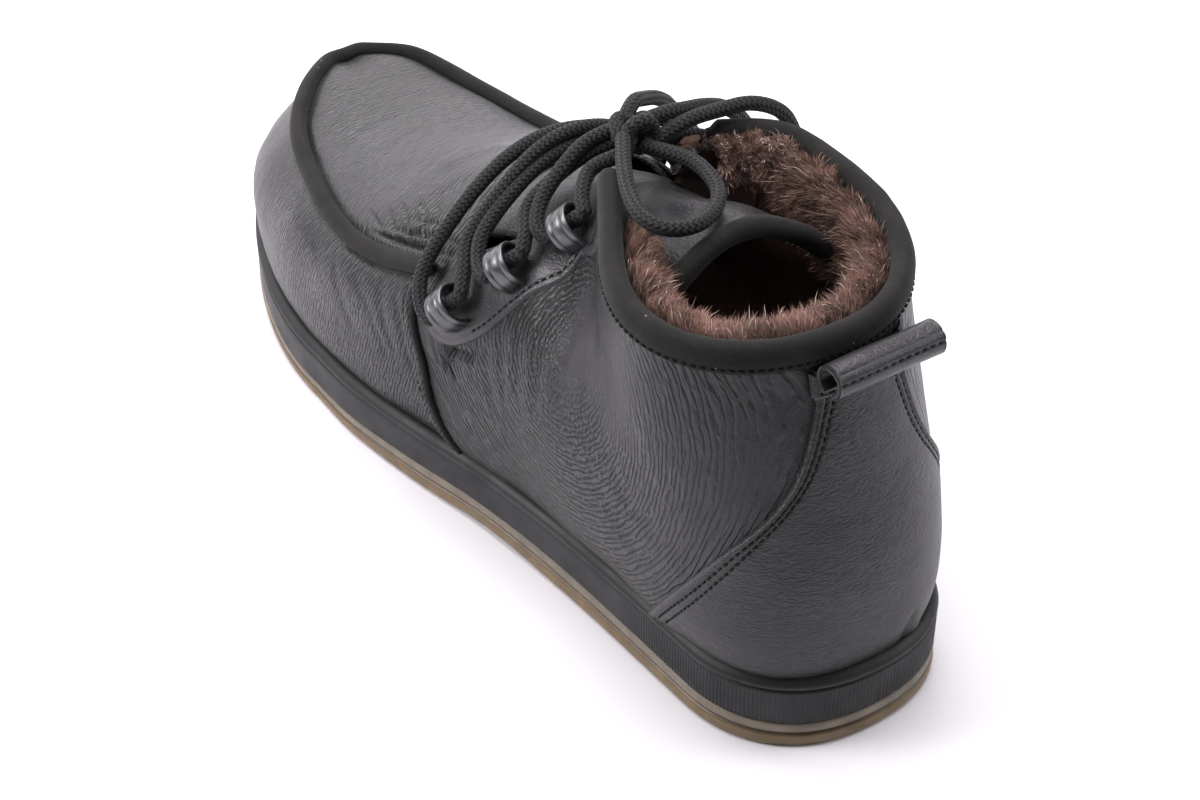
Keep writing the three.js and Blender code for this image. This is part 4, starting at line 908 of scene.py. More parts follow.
# Path of the piping round the plug, with its up and outward directions
PIPING_LINE = np.array([(3.25, 0.7, 0.675), (4, 0.69, 0.667), (5, 0.68, 0.66), (7, 0.678, 0.66), (8, 0.683, 0.66),
                        (9, 0.69, 0.66)])
PIPING_TOE, PIPING_TIP = [(3.0, 0.74), (2.85, 0.85)], 2.85
PIPING_FROM, PIPING_STATIONS, PIPING_ROUNDS = 9.15, 26, 70
NORMAL_SCALE = 40
piping_s = np.linspace(PIPING_FROM, PIPING_LINE[0, 0], PIPING_STATIONS)
outer, inner = (list(zip(piping_s, along(PIPING_LINE, piping_s, k))) + PIPING_TOE for k in (1, 2))
places = [(s, 1, a) for s, a in outer] + [(PIPING_TIP, 1, 1.0)] + [(s, -1, a) for s, a in inner[::-1]]
S, SIGN, A = np.array(places, float).T
path = centripetal(np.hstack([last_point(S, SIGN, A), NORMAL_SCALE * last_normal(S, SIGN, A)]), 0.9)
piping, piping_up = relax(path[:, :3], PIPING_ROUNDS), unit(path[:, 3:])
for _ in range(PIPING_ROUNDS):
    piping_up[1:-1] = unit(piping_up[:-2] + 2 * piping_up[1:-1] + piping_up[2:])
run = unit(np.gradient(piping, axis=0))
piping_out = unit(np.cross(piping_up, run))
piping_up = np.cross(run, piping_out)

crease_lines = [(centripetal(on_last(line), 2.0), half, depth) for line, half, depth in CREASES]
CREASE_REACH = 45


def creases_at(points):
    flat = points.reshape(-1, 3)
    height = 0.3 * waves(flat, 30, 3) + 0.06 * waves(flat, 11, 4)
    for line, half, depth in crease_lines:
        near = (np.abs(flat - line.mean(0)) < CREASE_REACH).all(1)
        gap, share = reach_to(flat[near], line)
        taper = np.clip(np.minimum(share, 1 - share) * 4 + 0.25, 0, 1)
        height[near] += depth * bell(gap, 0, half) * taper
    return height.reshape(points.shape[:-1])


# Seam of vamp and quarter on each side: the vamp's rounded edge, its drop to the quarter, and its sewn line
SEAM_TOP, SEAM_SIDE, NO_SEAM = 72.5, 30, 99.0


def seam_x(z):
    seam = np.array(SEAM_POINTS, float)[::-1]
    return np.interp(z, seam[:, 1], seam[:, 0])


def seam_at(points):
    x, y, z = np.moveaxis(points, -1, 0)
    gap = np.where((z < SEAM_TOP) & (abs(y) > SEAM_SIDE), x - seam_x(z), NO_SEAM)
    return 1.1 * bell(gap, 2.3, 1.9) - 1.9 * bell(gap, -0.2, 0.75) - 0.5 * bell(gap, 4.6, 0.7)


# Hollow of the plug towards the tongue, so that the two run on into each other
def throat_dip(points):
    x, y, z = np.moveaxis(points, -1, 0)
    ahead = x - np.interp(abs(y), [0, 12, 26, 34], [152, 150, 146, 140])
    dip = -2.7 * bell(np.maximum(ahead, 0), 0, 8) * (ahead > -40)
    return dip * grade(z, 84, 5) * grade(27 - abs(y), 0, 8)


# Gathers of the vamp along the piping round the toe
def gathers(a, points):
    edge = grade(RIDGE_AT - 0.02 - a, 0, 0.2) * grade(a, 0.2, 0.2)
    toe = grade(points[..., 0], 205, 40)
    turn = np.arctan2(points[..., 1] + 10, points[..., 0] - 215)
    return 0.05 * edge * toe * np.sin(turn * 46 + 2 * np.sin(turn * 9))


# Distance from the piping, for the leather drawn down beside it
def piping_gap(points):
    flat = points.reshape(-1, 3)
    gap = np.full(len(flat), 99.0)
    near = (flat[:, 0] > 130) & (flat[:, 2] > 50)
    gap[near] = reach_to(flat[near], piping[::4])[0]
    return gap.reshape(points.shape[:-1])


def skin(s, sign, a, extra=0.0):
    p = last_point(s, sign, a)
    gap = piping_gap(p)
    fine = (creases_at(p) + gathers(a, p)) * grade(gap, 2.2, 1.6)
    return off_last(s, sign, a, fine + seam_at(p) + throat_dip(p) - 0.45 * bell(gap, 2.6, 1.6) + extra)


def in_throat(points, grow):
    outline = [(x, y + grow) for x, y, _ in THROAT] + [(x, y - grow) for x, _, y in THROAT[::-1]]
    outline = np.array(outline, float)
    x, y = points[..., 0], points[..., 1]
    inside = np.zeros(x.shape, bool)
    for (x0, y0), (x1, y1) in zip(outline, np.roll(outline, -1, 0)):
        if y0 != y1:
            crosses = (y0 > y) != (y1 > y)
            inside ^= crosses & (x < (x1 - x0) * (y - y0) / (y1 - y0) + x0)
    return inside & (points[..., 2] > 60)


# Runs of even steps, each from, to and count, with the last end
def stepped(*runs):
    return np.concatenate([np.linspace(*r, endpoint=False) for r in runs[:-1]] + [np.linspace(*runs[-1])])


# Upper: one fine grid round the last, cut at the joint, the collar and the throat
TOE_POLE = [0.0005, 0.006]
TUCK, COLLAR_OVER, COLLAR_TOP, THROAT_GROW, LEATHER_WALL = 2.2, 3.0, 2.5, 1.0, 2.0
s_runs = stepped((0.02, 3, 60), (3, 8.3, 108), (8.3, 9.6, 84), (9.6, 12, 56), (12, LAST_S, 92))
s_steps = np.concatenate([TOE_POLE, s_runs])
v_steps = stepped((0, 0.63, 42), (0.63, 0.84, 46), (0.84, 1.16, 24), (1.16, 1.37, 18), (1.37, 2, 35))
S, V = np.meshgrid(s_steps, v_steps, indexing="ij")
A = np.where(V <= 1, V, 2 - V)
SIGN = np.where(V <= 1, 1.0, -1.0)
P = skin(S, SIGN, A)
P[0] = P[0].mean(0)
base = last_point(S, SIGN, A)
keep = base[..., 2] > level(np.clip(base[..., 0], 0, SOLE_LENGTH), 3) - TUCK
keep &= base[..., 2] < collar_z(base[..., 0]) + COLLAR_OVER
keep &= ~in_throat(base, THROAT_GROW)
P[..., 2] = np.minimum(P[..., 2], collar_z(P[..., 0]) + COLLAR_TOP)

# Flow of the grain: round an arc on the quarter, across the plug, up and down on the vamp
ARC_X, ARC_Z, ARC_RADIUS = 88.0, 82.0, 34.0
ANKLE_X, ANKLE_Z = 64.0, 98.0
CORNER = np.array([166.0, 33.0, 77.0])
PLUG_ARC_X = 130
flat, a_flat, s_flat = base.reshape(-1, 3), A.ravel(), S.ravel()
x, y, z = flat.T
on_quarter = x < seam_x(z)
line_a = np.where(SIGN > 0, along(PIPING_LINE, S, 1), along(PIPING_LINE, S, 2)).ravel()
on_plug = (a_flat > line_a) & (s_flat > PIPING_TIP)


def by_panel(quarter, plug, vamp):
    return np.where(on_quarter, quarter, np.where(on_plug, plug, vamp))


around = np.hypot(x - ARC_X, z - ARC_Z)
turn = np.arctan2(x - ARC_X, ARC_Z - z) * ARC_RADIUS
across_flow = by_panel(around, np.hypot(x - PLUG_ARC_X, y * 0.8) * 1.05, 1.2 * (x + 0.35 * (z - 40)))
along_flow = by_panel(turn, y * 1.2, 1.2 * (z - 0.2 * x))
flow_uv = np.stack([across_flow, along_flow], -1)

# Depth of the grain: faint at the ankle, the arc's middle, the seams and the toe, deep at the plug's corner
quarter_share = grade(np.hypot(x - ANKLE_X, z - ANKLE_Z), 8, 20, 0.2) * grade(around, 4, 14, 0.12)
quarter_share *= np.where(z > ARC_Z - 4, grade(abs(x - ARC_X), 2, 9), 1)
quarter_share *= (1 - 0.85 * bell(x, 143, 6) * (z > 52) * on_quarter) * grade(x, 5, 50, 0.3)
plug_share = 0.85 * np.clip(0.6 + 0.45 * waves(flat, 60, 91), 0.25, 1)
plug_share += 0.8 * bell(np.linalg.norm(flat - CORNER, axis=1), 0, 15)
share = by_panel(quarter_share, plug_share, np.clip(0.7 - (x - 190) / 130, 0.2, 0.7))
by_piping = grade(abs(a_flat - line_a), 0.01, 0.04, 0.15)
share = share * np.where(on_quarter | (s_flat < PIPING_TIP), 1, by_piping)
shell_faces = grid_faces(len(s_steps), len(v_steps))[:, ::-1]
shell_faces = shell_faces[keep.ravel()[shell_faces].all(1)]
upper = make_piece("upper_leather", P.reshape(-1, 3), shell_faces, [LEATHER, LINING], ["upper"],
                   uv=flow_uv[shell_faces].reshape(-1, 2), tint=np.repeat(share[:, None], 3, 1))
wall = upper.modifiers.new("wall", "SOLIDIFY")
wall.thickness = LEATHER_WALL * MM
wall.offset = -1.0
wall.material_offset = 1

# Panels on the upper: rows of places from edge to edge. A rim is distance from the edge and height.
RIM = np.array([(0, -0.2), (0.35, 0.85), (0.9, 1.3), (1.9, 1.4), (2.7, 1.05), (3.1, 0.85), (3.5, 1.1), (4.4, 1.2),
                (5.1, 0.85), (5.5, 0.85), (6.3, 1.1), (60, 1.1)])
FACING_RIM = np.array([(0, -0.2), (0.4, 0.45), (1.0, 0.7), (2.4, 0.75), (3.1, 0.5), (3.8, 0.75), (60, 0.8)])
PLACE_SCALE = np.array([20.0, 60.0])


def smooth_places(s, a, count):
    sa = relax(resample(np.stack([s, a], -1) * PLACE_SCALE, 0.4), 60)
    return sample(sa / PLACE_SCALE, np.arange(len(sa)), np.linspace(0, len(sa) - 1, count)).T


def slab(points, normals, thick):
    n, m = points.shape[:2]
    top = grid_faces(n, m)
    both = np.vstack([points.reshape(-1, 3), (points - normals * thick).reshape(-1, 3)])
    return both, [top, top[:, ::-1] + n * m]


def edge_gap(base, column):
    return np.linalg.norm(base - base[:, column], axis=-1)


# Line on a panel at a distance in from its edge, for a row of stitches
def inset(gap, points, far_in):
    return np.array([sample(row, g, far_in) for g, row in zip(gap, points)])


stitch_lines = []
COUNTER_EDGE = [(52, 38, 20), (47, 39, 27), (38, 40, 39), (28.5, 40, 51.6), (20, 36.5, 63.8), (15, 30, 71.7),
                (12.8, 23, 79.8), (13, 18, 88.4), (14.3, 15, 96), (16, 12.4, 102.4), (17.5, 12, 111.5)]
COUNTER_WIDER = {1: [0, 0, 0], -1: [0, 4.0, 6.0]}
COUNTER_WIDER_AT = [60, 80, 111]
COUNTER_ROWS, COUNTER_RISE, COUNTER_THICK, COUNTER_SEWN = 130, 1.35, 1.0, (3.1, 5.4)
PANEL_LIFT = 0.15
BACK_STEPS = 600
back_heights = np.linspace(19.5, 111.5, COUNTER_ROWS)
fine_s = np.linspace(12, LAST_S, BACK_STEPS)
fine_z = last_point(fine_s, 1.0, np.zeros(BACK_STEPS))[:, 2]
back_s = np.interp(back_heights, fine_z, fine_s)
half_steps = stepped((0, 0.3, 26), (0.3, 1, 34))
half_count = len(half_steps)
sides = []
for sign in (1, -1):
    wider = [np.interp(z, COUNTER_WIDER_AT, COUNTER_WIDER[sign]) for _, _, z in COUNTER_EDGE]
    targets = centripetal([(x, sign * (y + more) + 1.5, z) for (x, y, z), more in zip(COUNTER_EDGE, wider)], 1.0)
    es, ea = smooth_places(*place(sign, targets, (0, 1, 2), (13.5, 0.2), 0.0), COUNTER_ROWS)
    sides.append((es[:, None] + (back_s - es)[:, None] * half_steps, np.full((COUNTER_ROWS, half_count), float(sign)),
                  ea[:, None] * (1 - half_steps)))
S, SIGN, A = (np.concatenate([one, other[:, ::-1][:, 1:]], 1) for one, other in zip(*sides))
base = last_point(S, SIGN, A)
gap = np.minimum(edge_gap(base, slice(0, 1)), edge_gap(base, slice(-1, None)))
P = skin(S, SIGN, A, PANEL_LIFT + np.interp(gap, RIM[:, 0], RIM[:, 1]) / 1.1 * COUNTER_RISE)
P[..., 2] = np.minimum(P[..., 2], collar_z(P[..., 0]) - 0.2)
points, faces = slab(P, last_normal(S, SIGN, A), COUNTER_THICK)
make_piece("heel_counter_panel", points, faces, SMOOTH, ["heel_counter"])
for flip in (1, -1):
    for far_in in COUNTER_SEWN:
        stitch_lines.append(inset(gap[:, ::flip][:, :half_count], P[:, ::flip][:, :half_count], far_in)[12:-3])

FACING_LOW = [(146, 65), (144, 62.2), (140, 60), (134, 61.5), (124, 69.5), (117, 79), (111.5, 87.5), (103, 101),
              (95, 111), (90, 117)]
FACING_HIGH = {
    1: [(144, 31), (142, 32.5), (139, 33), (132, 28.8), (125, 24.4), (118, 20), (112, 15.4), (106, 11.5), (102, 10),
        (98, 9.8)],
    -1: [(144, -31), (142, -32.5), (139, -33), (132, -28.8), (125, -24.4), (118, -19), (112, -14), (106, -9.5),
         (102, -8), (98, -7.8)],
}
FACING_ROWS, FACING_COLUMNS, FACING_SLAB, FACING_SEWN = 110, 40, 2.2, 3.1
for sign, name in ((1, "outer"), (-1, "inner")):
    low_s, low_a = smooth_places(*place(sign, FACING_LOW, (0, 2), (10.5, 0.6)), FACING_ROWS)
    high_s, high_a = smooth_places(*place(sign, FACING_HIGH[sign], (0, 1), (10.5, 0.85), 0.66), FACING_ROWS)
    t = np.linspace(0, 1, FACING_COLUMNS) ** 1.3
    S = low_s[:, None] + (high_s - low_s)[:, None] * t
    A = low_a[:, None] + (high_a - low_a)[:, None] * t
    base = last_point(S, sign, A)
    gap = edge_gap(base, slice(0, 1))
    ends = np.minimum(np.arange(FACING_ROWS), 40)[:, None] * 0.9
    height = np.interp(np.minimum(gap, ends), FACING_RIM[:, 0], FACING_RIM[:, 1])
    height = height * np.clip(0.25 + edge_gap(base, slice(-1, None)) / 1.2, 0, 1)
    P = skin(S, sign, A, PANEL_LIFT + height)
    P[..., 2] = np.minimum(P[..., 2], collar_z(P[..., 0]) + 1.5)
    points, faces = slab(P, last_normal(S, sign, A), FACING_SLAB)
    low_enough = (base[..., 2] < collar_z(base[..., 0]) + 4).ravel()
    faces = [f[np.tile(low_enough, 2)[f].all(1)] for f in faces]
    make_piece("facing_%s_panel" % name, points, faces, LIT_SATIN, ["facing_" + name])
    stitch_lines.append(inset(gap, P, FACING_SEWN)[14:-22])

# Piping round the plug
PIPING_HALF, PIPING_HEIGHT, PIPING_LIFT = 2.65, 2.4, 1.35
size = (1 + 0.02 * waves(piping, 14, 11)) * np.clip(from_ends(len(piping)) / 4, 0.35, 1)
shape = oval(PIPING_HALF, PIPING_HEIGHT, 20, 2.2)[None] * size[:, None, None]
points, faces = sweep(piping + piping_up * PIPING_LIFT, piping_out, piping_up, shape)
make_piece("moc_piping_roll", points, faces, SUEDE, ["moc_piping"])

# Rolled collar binding with a flat lower edge that is stitched down
BINDING_HALF, BINDING_HEIGHT, BINDING_OUT, BINDING_SEWN = 3.3, 4.5, 1.4, 2.6
COLLAR_ENDS, COLLAR_STATIONS = (0.86, 0.82), 170
UP = np.array([0.0, 0.0, 1.0])
shares = [(1, a) for a in np.linspace(COLLAR_ENDS[0], 0, COLLAR_STATIONS)]
shares += [(-1, a) for a in np.linspace(0, COLLAR_ENDS[1], COLLAR_STATIONS)[1:]]
_, centre, out = collar_places(*np.array(shares, float).T)
path = resample(np.hstack([centre, 30 * out]), 1.1)
centre, out = path[:, :3], unit(path[:, 3:])
middle = np.array([BINDING_OUT - BINDING_HALF, BINDING_HEIGHT + 0.3])
profile = oval(BINDING_HALF, BINDING_HEIGHT, 26, 2.3) + middle
profile[:, 0] -= 0.45 * grade(profile[:, 0], -0.2, 1.6) * bell(profile[:, 1], BINDING_SEWN, 0.8)
lumps = 1 + 0.025 * waves(centre, 17, 21) + 0.012 * waves(centre, 6, 22)
ease = np.clip(from_ends(len(centre)) / 3, 0.3, 1) ** 0.5
shape = middle + (profile - middle)[None] * (lumps * ease)[:, None, None]
points, faces = sweep(centre, out, np.tile(UP, (len(centre), 1)), shape)
make_piece("collar_binding_roll", points, faces, SUEDE, ["collar_binding"])
stitch_lines.append(centre[6:-6] + out[6:-6] * 1.12 + UP * BINDING_SEWN)

# Pull tab: a leather strip rolled back to an open tube, its tails sewn to the counter
TAB = np.array([10.8, -2.0, 112.6])
TAB_RADII, TAB_LENGTH, TAB_SEWN_RADIUS = (4.6, 3.2), 33.0, 4.35
TAB_RIDGE, TAB_SEWN = np.radians(146), 0.3
TAIL_ROWS, TAIL_COLUMNS, TAIL_LIFT, TAIL_THICK = 14, 30, 1.7, 1.6
turn = np.linspace(np.radians(-70), np.radians(250), 90)
along_y = np.linspace(-TAB_LENGTH / 2, TAB_LENGTH / 2, 44)
ridge = 0.035 * bell(turn, TAB_RIDGE, 0.16)
for side in (-1, 1):
    ridge -= 0.05 * bell(turn, TAB_RIDGE + TAB_SEWN * side, 0.07)
rounds = np.stack([np.cos(turn), 0 * turn, np.sin(turn)], -1)[None] * (1 + ridge)[None, :, None]
rounds = rounds * (1 + 0.02 * np.sin(along_y / 4.5))[:, None, None]
line = TAB + along_y[:, None] * np.array([0, 1, 0])
outside, inside = (line[:, None] + rounds * radius for radius in TAB_RADII)
closed = np.concatenate([outside, inside[:, ::-1]], 1)
n, m = closed.shape[:2]
i = np.arange(len(turn) - 1)
end = np.stack([i, i + 1, m - 2 - i, m - 1 - i], -1)
tab_parts = [(closed.reshape(-1, 3), [grid_faces(n, m, True), end, end[:, ::-1] + (n - 1) * m])]
sewn = TAB_RIDGE + TAB_SEWN
stitch_lines.append(line[2:-2] + TAB_SEWN_RADIUS * np.array([np.cos(sewn), 0, np.sin(sewn)]))
tail_s = np.interp(np.linspace(104.0, 110.5, TAIL_ROWS), fine_z, fine_s)
tail_y = np.linspace(-TAB_LENGTH / 2, TAB_LENGTH / 2, TAIL_COLUMNS) + TAB[1]
S = np.repeat(tail_s[:, None], TAIL_COLUMNS, 1)
SIGN = np.where(tail_y > 1.5, 1.0, -1.0)[None].repeat(TAIL_ROWS, 0)
span_a = np.linspace(0, 0.4, 120)
A = np.zeros_like(S)
for i in range(TAIL_ROWS):
    for sign in (1.0, -1.0):
        ys = last_point(tail_s[i], sign, span_a)[:, 1]
        chosen = SIGN[i] == sign
        order = np.argsort(ys)
        A[i, chosen] = np.interp(tail_y[chosen], ys[order], span_a[order])
rim = np.minimum(from_ends(TAIL_COLUMNS)[None] * 1.1, np.arange(TAIL_ROWS)[:, None] * 0.85)
normals = last_normal(S, SIGN, A)
P = off_last(S, SIGN, A, TAIL_LIFT + np.clip(0.2 + rim / 1.2, 0, 1) - 0.3 * bell(rim, 2.4, 0.5))
tab_parts.append(slab(P, normals, TAIL_THICK))
points, faces = join(tab_parts)
make_piece("pull_tab_roll", points, faces, LIT_SATIN, ["pull_tab"])
stitch_lines.append(P[3, 2:-2] + normals[3, 2:-2] * 0.15)

# Tongue: padded leather sheet with a bound free end and an underside in a lightened brown, painted light in its
# shade; x, z, half width and fall of its sides
TONGUE = np.array([(168, 87.2, 22, 7), (158, 92, 24, 8.5), (146, 97, 25, 9.5), (132, 102.8, 24, 9.5),
                   (120, 107.4, 21, 9), (108, 111, 18, 8.5), (97, 113.6, 17, 8), (88, 117, 18, 8.5),
                   (78, 120.6, 20, 9.5), (66, 121.6, 23, 11)])
TONGUE_THICK, TONGUE_COLUMNS, TONGUE_SOFT = 2.4, 50, 0.35
RIM_RADIUS, RIM_ENDS = 3.0, ([(60, -33, 99), (64, -28.5, 105)], [(67, 25, 107.5), (64, 29, 101)])
rows = centripetal(np.insert(TONGUE, 1, 0, axis=1), 1.0)
run = unit(np.gradient(rows[:, :3], axis=0))
up = np.stack([run[:, 2], np.zeros(len(rows)), -run[:, 0]], -1)
share = np.linspace(-1, 1, TONGUE_COLUMNS)
top = rows[:, None, :3] + np.array([0, 1, 0]) * (rows[:, 3:4] * share)[..., None]
top = top + up[:, None] * (-rows[:, 4:5] * share ** 2)[..., None]
top = top + up[:, None] * (TONGUE_SOFT * waves(top, 16, 31))[..., None]
under = top - up[:, None] * TONGUE_THICK
closed = np.concatenate([top, under[:, ::-1]], 1)
n, m = closed.shape[:2]
faces = grid_faces(n, m, True)
lined = (faces.max(1) % m > TONGUE_COLUMNS) & (faces.min(1) % m >= TONGUE_COLUMNS)
# The underside takes the lightened lining: painted light in the tongue's shade
make_piece("tongue_leather", closed.reshape(-1, 3), faces, [SMOOTH, TONGUE_LINING_LIT], ["tongue"],
           mat_index=lined.astype(int))
rim_path = np.vstack([RIM_ENDS[0], top[-1, 2:-2:4], RIM_ENDS[1]]) - up[-1] * TONGUE_THICK / 2
rim_path = relax(centripetal(rim_path, 1.0), 10)
taper = np.clip(from_ends(len(rim_path)) / 12, 0.25, 1) ** 0.5
points, faces, _ = tube(rim_path, 1.0, 16, RIM_RADIUS * taper * (1 + 0.04 * waves(rim_path, 12, 41)))
make_piece("tongue_rim", points, faces, SUEDE)

# Lace loops: a strap of metal bent over each seat
LOOP_HALF, LOOP_HEIGHT, LOOP_STRAP, LOOP_WIDTH, LOOP_FOOT = 6.1, 7.9, 1.2, 6.9, -1.2
LOOP_PLACES = [(134, 74), (121, 89.5), (109.5, 103)]
FACING_THICK, GAP, LACE_LIFT = 1.1, 0.3, 5.2
radius, high = LOOP_HALF - LOOP_STRAP / 2, LOOP_HEIGHT - LOOP_HALF
turn = np.linspace(0, np.pi, 30)
arch = np.stack([radius * np.cos(turn), high + radius * np.sin(turn)], -1)
leg = np.array([(radius, LOOP_FOOT), (radius, high / 2)])
bend = np.vstack([leg, arch, leg[::-1] * np.array([-1, 1])])
bend_run = unit(np.gradient(bend, axis=0))
bend_out = np.stack([bend_run[:, 1], -bend_run[:, 0]], -1)
# Strap section: across its width and out of its face, with two grooves and round edges
half_width = LOOP_WIDTH / 2
strap = [(-half_width, -0.35), (-half_width, 0.3), (-half_width + 0.3, 0.6), (-1.9, 0.62), (-1.6, 0.36), (-1.3, 0.62),
         (1.3, 0.62), (1.6, 0.36), (1.9, 0.62), (half_width - 0.3, 0.6), (half_width, 0.3), (half_width, -0.35),
         (half_width - 0.3, -0.6), (-half_width + 0.3, -0.6)]
seats = {}
loop_parts = []
for sign in (1, -1):
    s, a = place(sign, LOOP_PLACES)
    seat_points, normals = last_point(s, sign, a), last_normal(s, sign, a)
    throat_run = unit(seat_points[2] - seat_points[0])
    runs = unit(throat_run - normals * (normals @ throat_run)[:, None])
    seats[sign] = [
        dict(sign=sign, s=s[k], point=seat_points[k], normal=normals[k], run=runs[k],
             centre=seat_points[k] + normals[k] * LACE_LIFT) for k in range(3)
    ]
    for seat in seats[sign]:
        across = np.cross(seat["normal"], seat["run"])
        middle = seat["point"] + seat["normal"] * (FACING_THICK + 2 * GAP)
        centres = middle + bend[:, :1] * across + bend[:, 1:] * seat["normal"]
        faces_out = bend_out[:, :1] * across + bend_out[:, 1:] * seat["normal"]
        loop_parts.append(sweep(centres, np.tile(seat["run"], (len(bend), 1)), faces_out, np.array(strap)))
points, faces = join(loop_parts)
loop_nodes = ["lace_loop_%s_%d" % (side, k) for side in ("outer", "inner") for k in (1, 2, 3)]
loops = make_piece("lace_loops", points, faces, METAL, loop_nodes)
loops.modifiers.new("edge", "BEVEL").width = 0.12 * MM

# Laid lace: one strand from the knot down through six loops and back
LACE_REACH = (4.4, 6.8)
LACE_TURN = {"front": [(8.2, 4.6), (6.4, 11.5)], "back": [(8.4, 4.5), (9.4, 11.5)], "top": [(8.4, 4), (8.2, 11)]}
LACE_SIDES, BAR_AHEAD, OVER, UNDER = 16, 0.45, 1.9, -1.7
KNOT_SIDE, KNOT_UNDER = 3.0, 6.2 + 0.6


def pass_loop(seat):
    near, far = LACE_REACH
    return [seat["centre"] + seat["run"] * end for end in (-far, -near, 0, near, far)]


def climb(seat, end, crest_s, turns, lifts=(0, 0, 0, 0)):
    inward = np.cross(seat["normal"], seat["run"]) * seat["sign"]
    spots = [seat["point"] + seat["run"] * end * forward + inward * across for forward, across in LACE_TURN[turns]]
    s, a = place(seat["sign"], [(p[0], p[2]) for p in spots])
    pairs = list(zip(s, a)) + [(s[1] + (crest_s - s[1]) * k, a[1] + (1 - a[1]) * k) for k in (0.4, 0.75)]
    return [off_last(s, seat["sign"], a, LACE_LIFT + lift) for (s, a), lift in zip(pairs, lifts)]


def crossing(lower, upper, lift):
    crest_s = (lower["s"] + upper["s"]) / 2
    lifts = (0, 0, 0.5 * lift, 0.9 * lift)
    crest = off_last(crest_s, 1, 1.0, LACE_LIFT + lift)
    return climb(lower, 1, crest_s, "back", lifts) + [crest] + climb(upper, -1, crest_s, "front", lifts)[::-1]


def laid_half(first, second, third, lift):
    finish = np.array([KNOT[0] + 1, third["sign"] * KNOT_SIDE, KNOT[2] - KNOT_UNDER])
    bar = climb(first, -1, first["s"] - BAR_AHEAD, "front")[::-1]
    lower = pass_loop(first) + crossing(first, second, lift)
    upper = pass_loop(second) + crossing(second, third, lift) + pass_loop(third)
    return bar + lower + upper + climb(third, 1, third["s"], "top")[:2] + [finish]


half_a = laid_half(seats[1][0], seats[-1][1], seats[1][2], OVER)
half_b = laid_half(seats[-1][0], seats[1][1], seats[-1][2], UNDER)
crest = off_last(seats[1][0]["s"] - BAR_AHEAD, 1, 1.0, LACE_LIFT)
laid_path = centripetal(np.array(half_a[::-1] + [crest] + half_b), 1.0)
points, faces, uv = tube(laid_path, LACE_RADIUS, LACE_SIDES)
make_piece("lace_laid_strand", points, faces, LACE, ["lace_laid"], uv=uv)

# Knot: a tight overhand turn with one wrap drawn over it
KNOT_SIZE, WRAP = (3.1, 1.75, 1.4), (-3.2, 4.4, 4.3)
turn = np.linspace(0, 2 * np.pi, 130)
trefoil = [-np.sin(3 * turn), np.sin(turn) + 2 * np.sin(2 * turn), np.cos(turn) - 2 * np.cos(2 * turn)]
turn = np.linspace(np.radians(-35), np.radians(215), 50)
wrap = [np.ones_like(turn), np.cos(turn), np.sin(turn)]
knot_parts, knot_uv = [], []
for line, size in ((trefoil, KNOT_SIZE), (wrap, WRAP)):
    points, faces, uv = tube(resample(KNOT + np.stack(line, -1) * size, 0.8), LACE_RADIUS * 0.97, LACE_SIDES)
    knot_parts.append((points, faces))
    knot_uv.append(uv)
points, faces = join(knot_parts)
knot = make_piece("lace_knot_turns", points, faces, LACE, ["lace_knot"], uv=np.concatenate(knot_uv))

# Bow loops and ends of the lace, the ends with tips
FREE = [("lace_bow_outer", BOW_OUTER, "object"), ("lace_bow_inner", BOW_INNER, "object"),
        ("lace_end_front", END_FRONT, "fitting"), ("lace_end_back", END_BACK, "fitting")]
for name, route, far_end in FREE:
    path = centripetal(route, 1.0)
    points, faces, uv = tube(path, LACE_RADIUS, LACE_SIDES)
    strand = make_piece(name + "_strand", points, faces, LACE, [name], uv=uv)
    going = [knot] if name == "lace_bow_outer" else []
    if far_end == "fitting":
        points, faces, _ = tube(path[-int(AGLET_LENGTH):], LACE_RADIUS + 0.12, LACE_SIDES)
        going = [make_piece(name + "_aglet", points, faces, AGLET)]

# Fur: a soft base ring, and hairs in clumps that lean in and up
FUR_LOW, FUR_FRONT = 80.0, 110.0
FUR_ROOT, FUR_TIP = np.array([0.07, 0.038, 0.028]), np.array([0.29, 0.168, 0.126])
FUR_PALE = np.array([0.5, 0.4, 0.335])
HAIRS, HAIR_SIZE, HAIR_WIDTH = 36000, (3.4, 6.4), (0.1, 0.2)
KEMP_SHARE, KEMP_SIZE, KEMP_WIDTH = 0.012, 1.45, 0.16
CROWN_SHARE, CROWN_DEPTH, CROWN_RISE, CROWN_HALF = 0.5, 8.2, 4.2, 4.4
CROWN_FROM, CROWN_TO, FUR_CEILING = 5.4, 11.2, 9.0


# Roots on the crown behind the binding and on the wall below it, each with the direction that its hair leans
def fur_places(sign, count, draw):
    a = draw.uniform(0, 0.83, count * 3)
    collar_s, edge_points, out = collar_places(sign, a)
    crown = draw.uniform(size=len(a)) < CROWN_SHARE
    depth = draw.uniform(CROWN_FROM, CROWN_TO, len(a))
    lift = CROWN_RISE * (1 - ((depth - CROWN_DEPTH) / CROWN_HALF) ** 2)
    top = edge_points - out * depth[:, None] + UP * lift[:, None]
    s = collar_s - draw.uniform(0, 1.25, len(a))
    wall = off_last(s, sign, a, -draw.uniform(9.5, 11.0, len(a)))
    wall[:, 2] += 2.0
    root = np.where(crown[:, None], top, wall)
    inward = np.where(crown, 0.25 + 0.14 * (depth - CROWN_FROM), 1.0)[:, None]
    rise = np.where(crown, 1.0 - 0.05 * (depth - CROWN_FROM), 0.3)[:, None]
    lean = unit(-out * inward + UP * rise)
    good = (root[:, 2] > FUR_LOW) & (root[:, 0] < FUR_FRONT)
    good &= ~((root[:, 0] > 74) & (abs(root[:, 1]) < 21) & (root[:, 2] > 90))
    pick = np.flatnonzero(good)[:count]
    return root[pick], lean[pick]


def wave_field(points, wavelength, seeds):
    return np.stack([waves(points, wavelength, seed) for seed in seeds], -1)


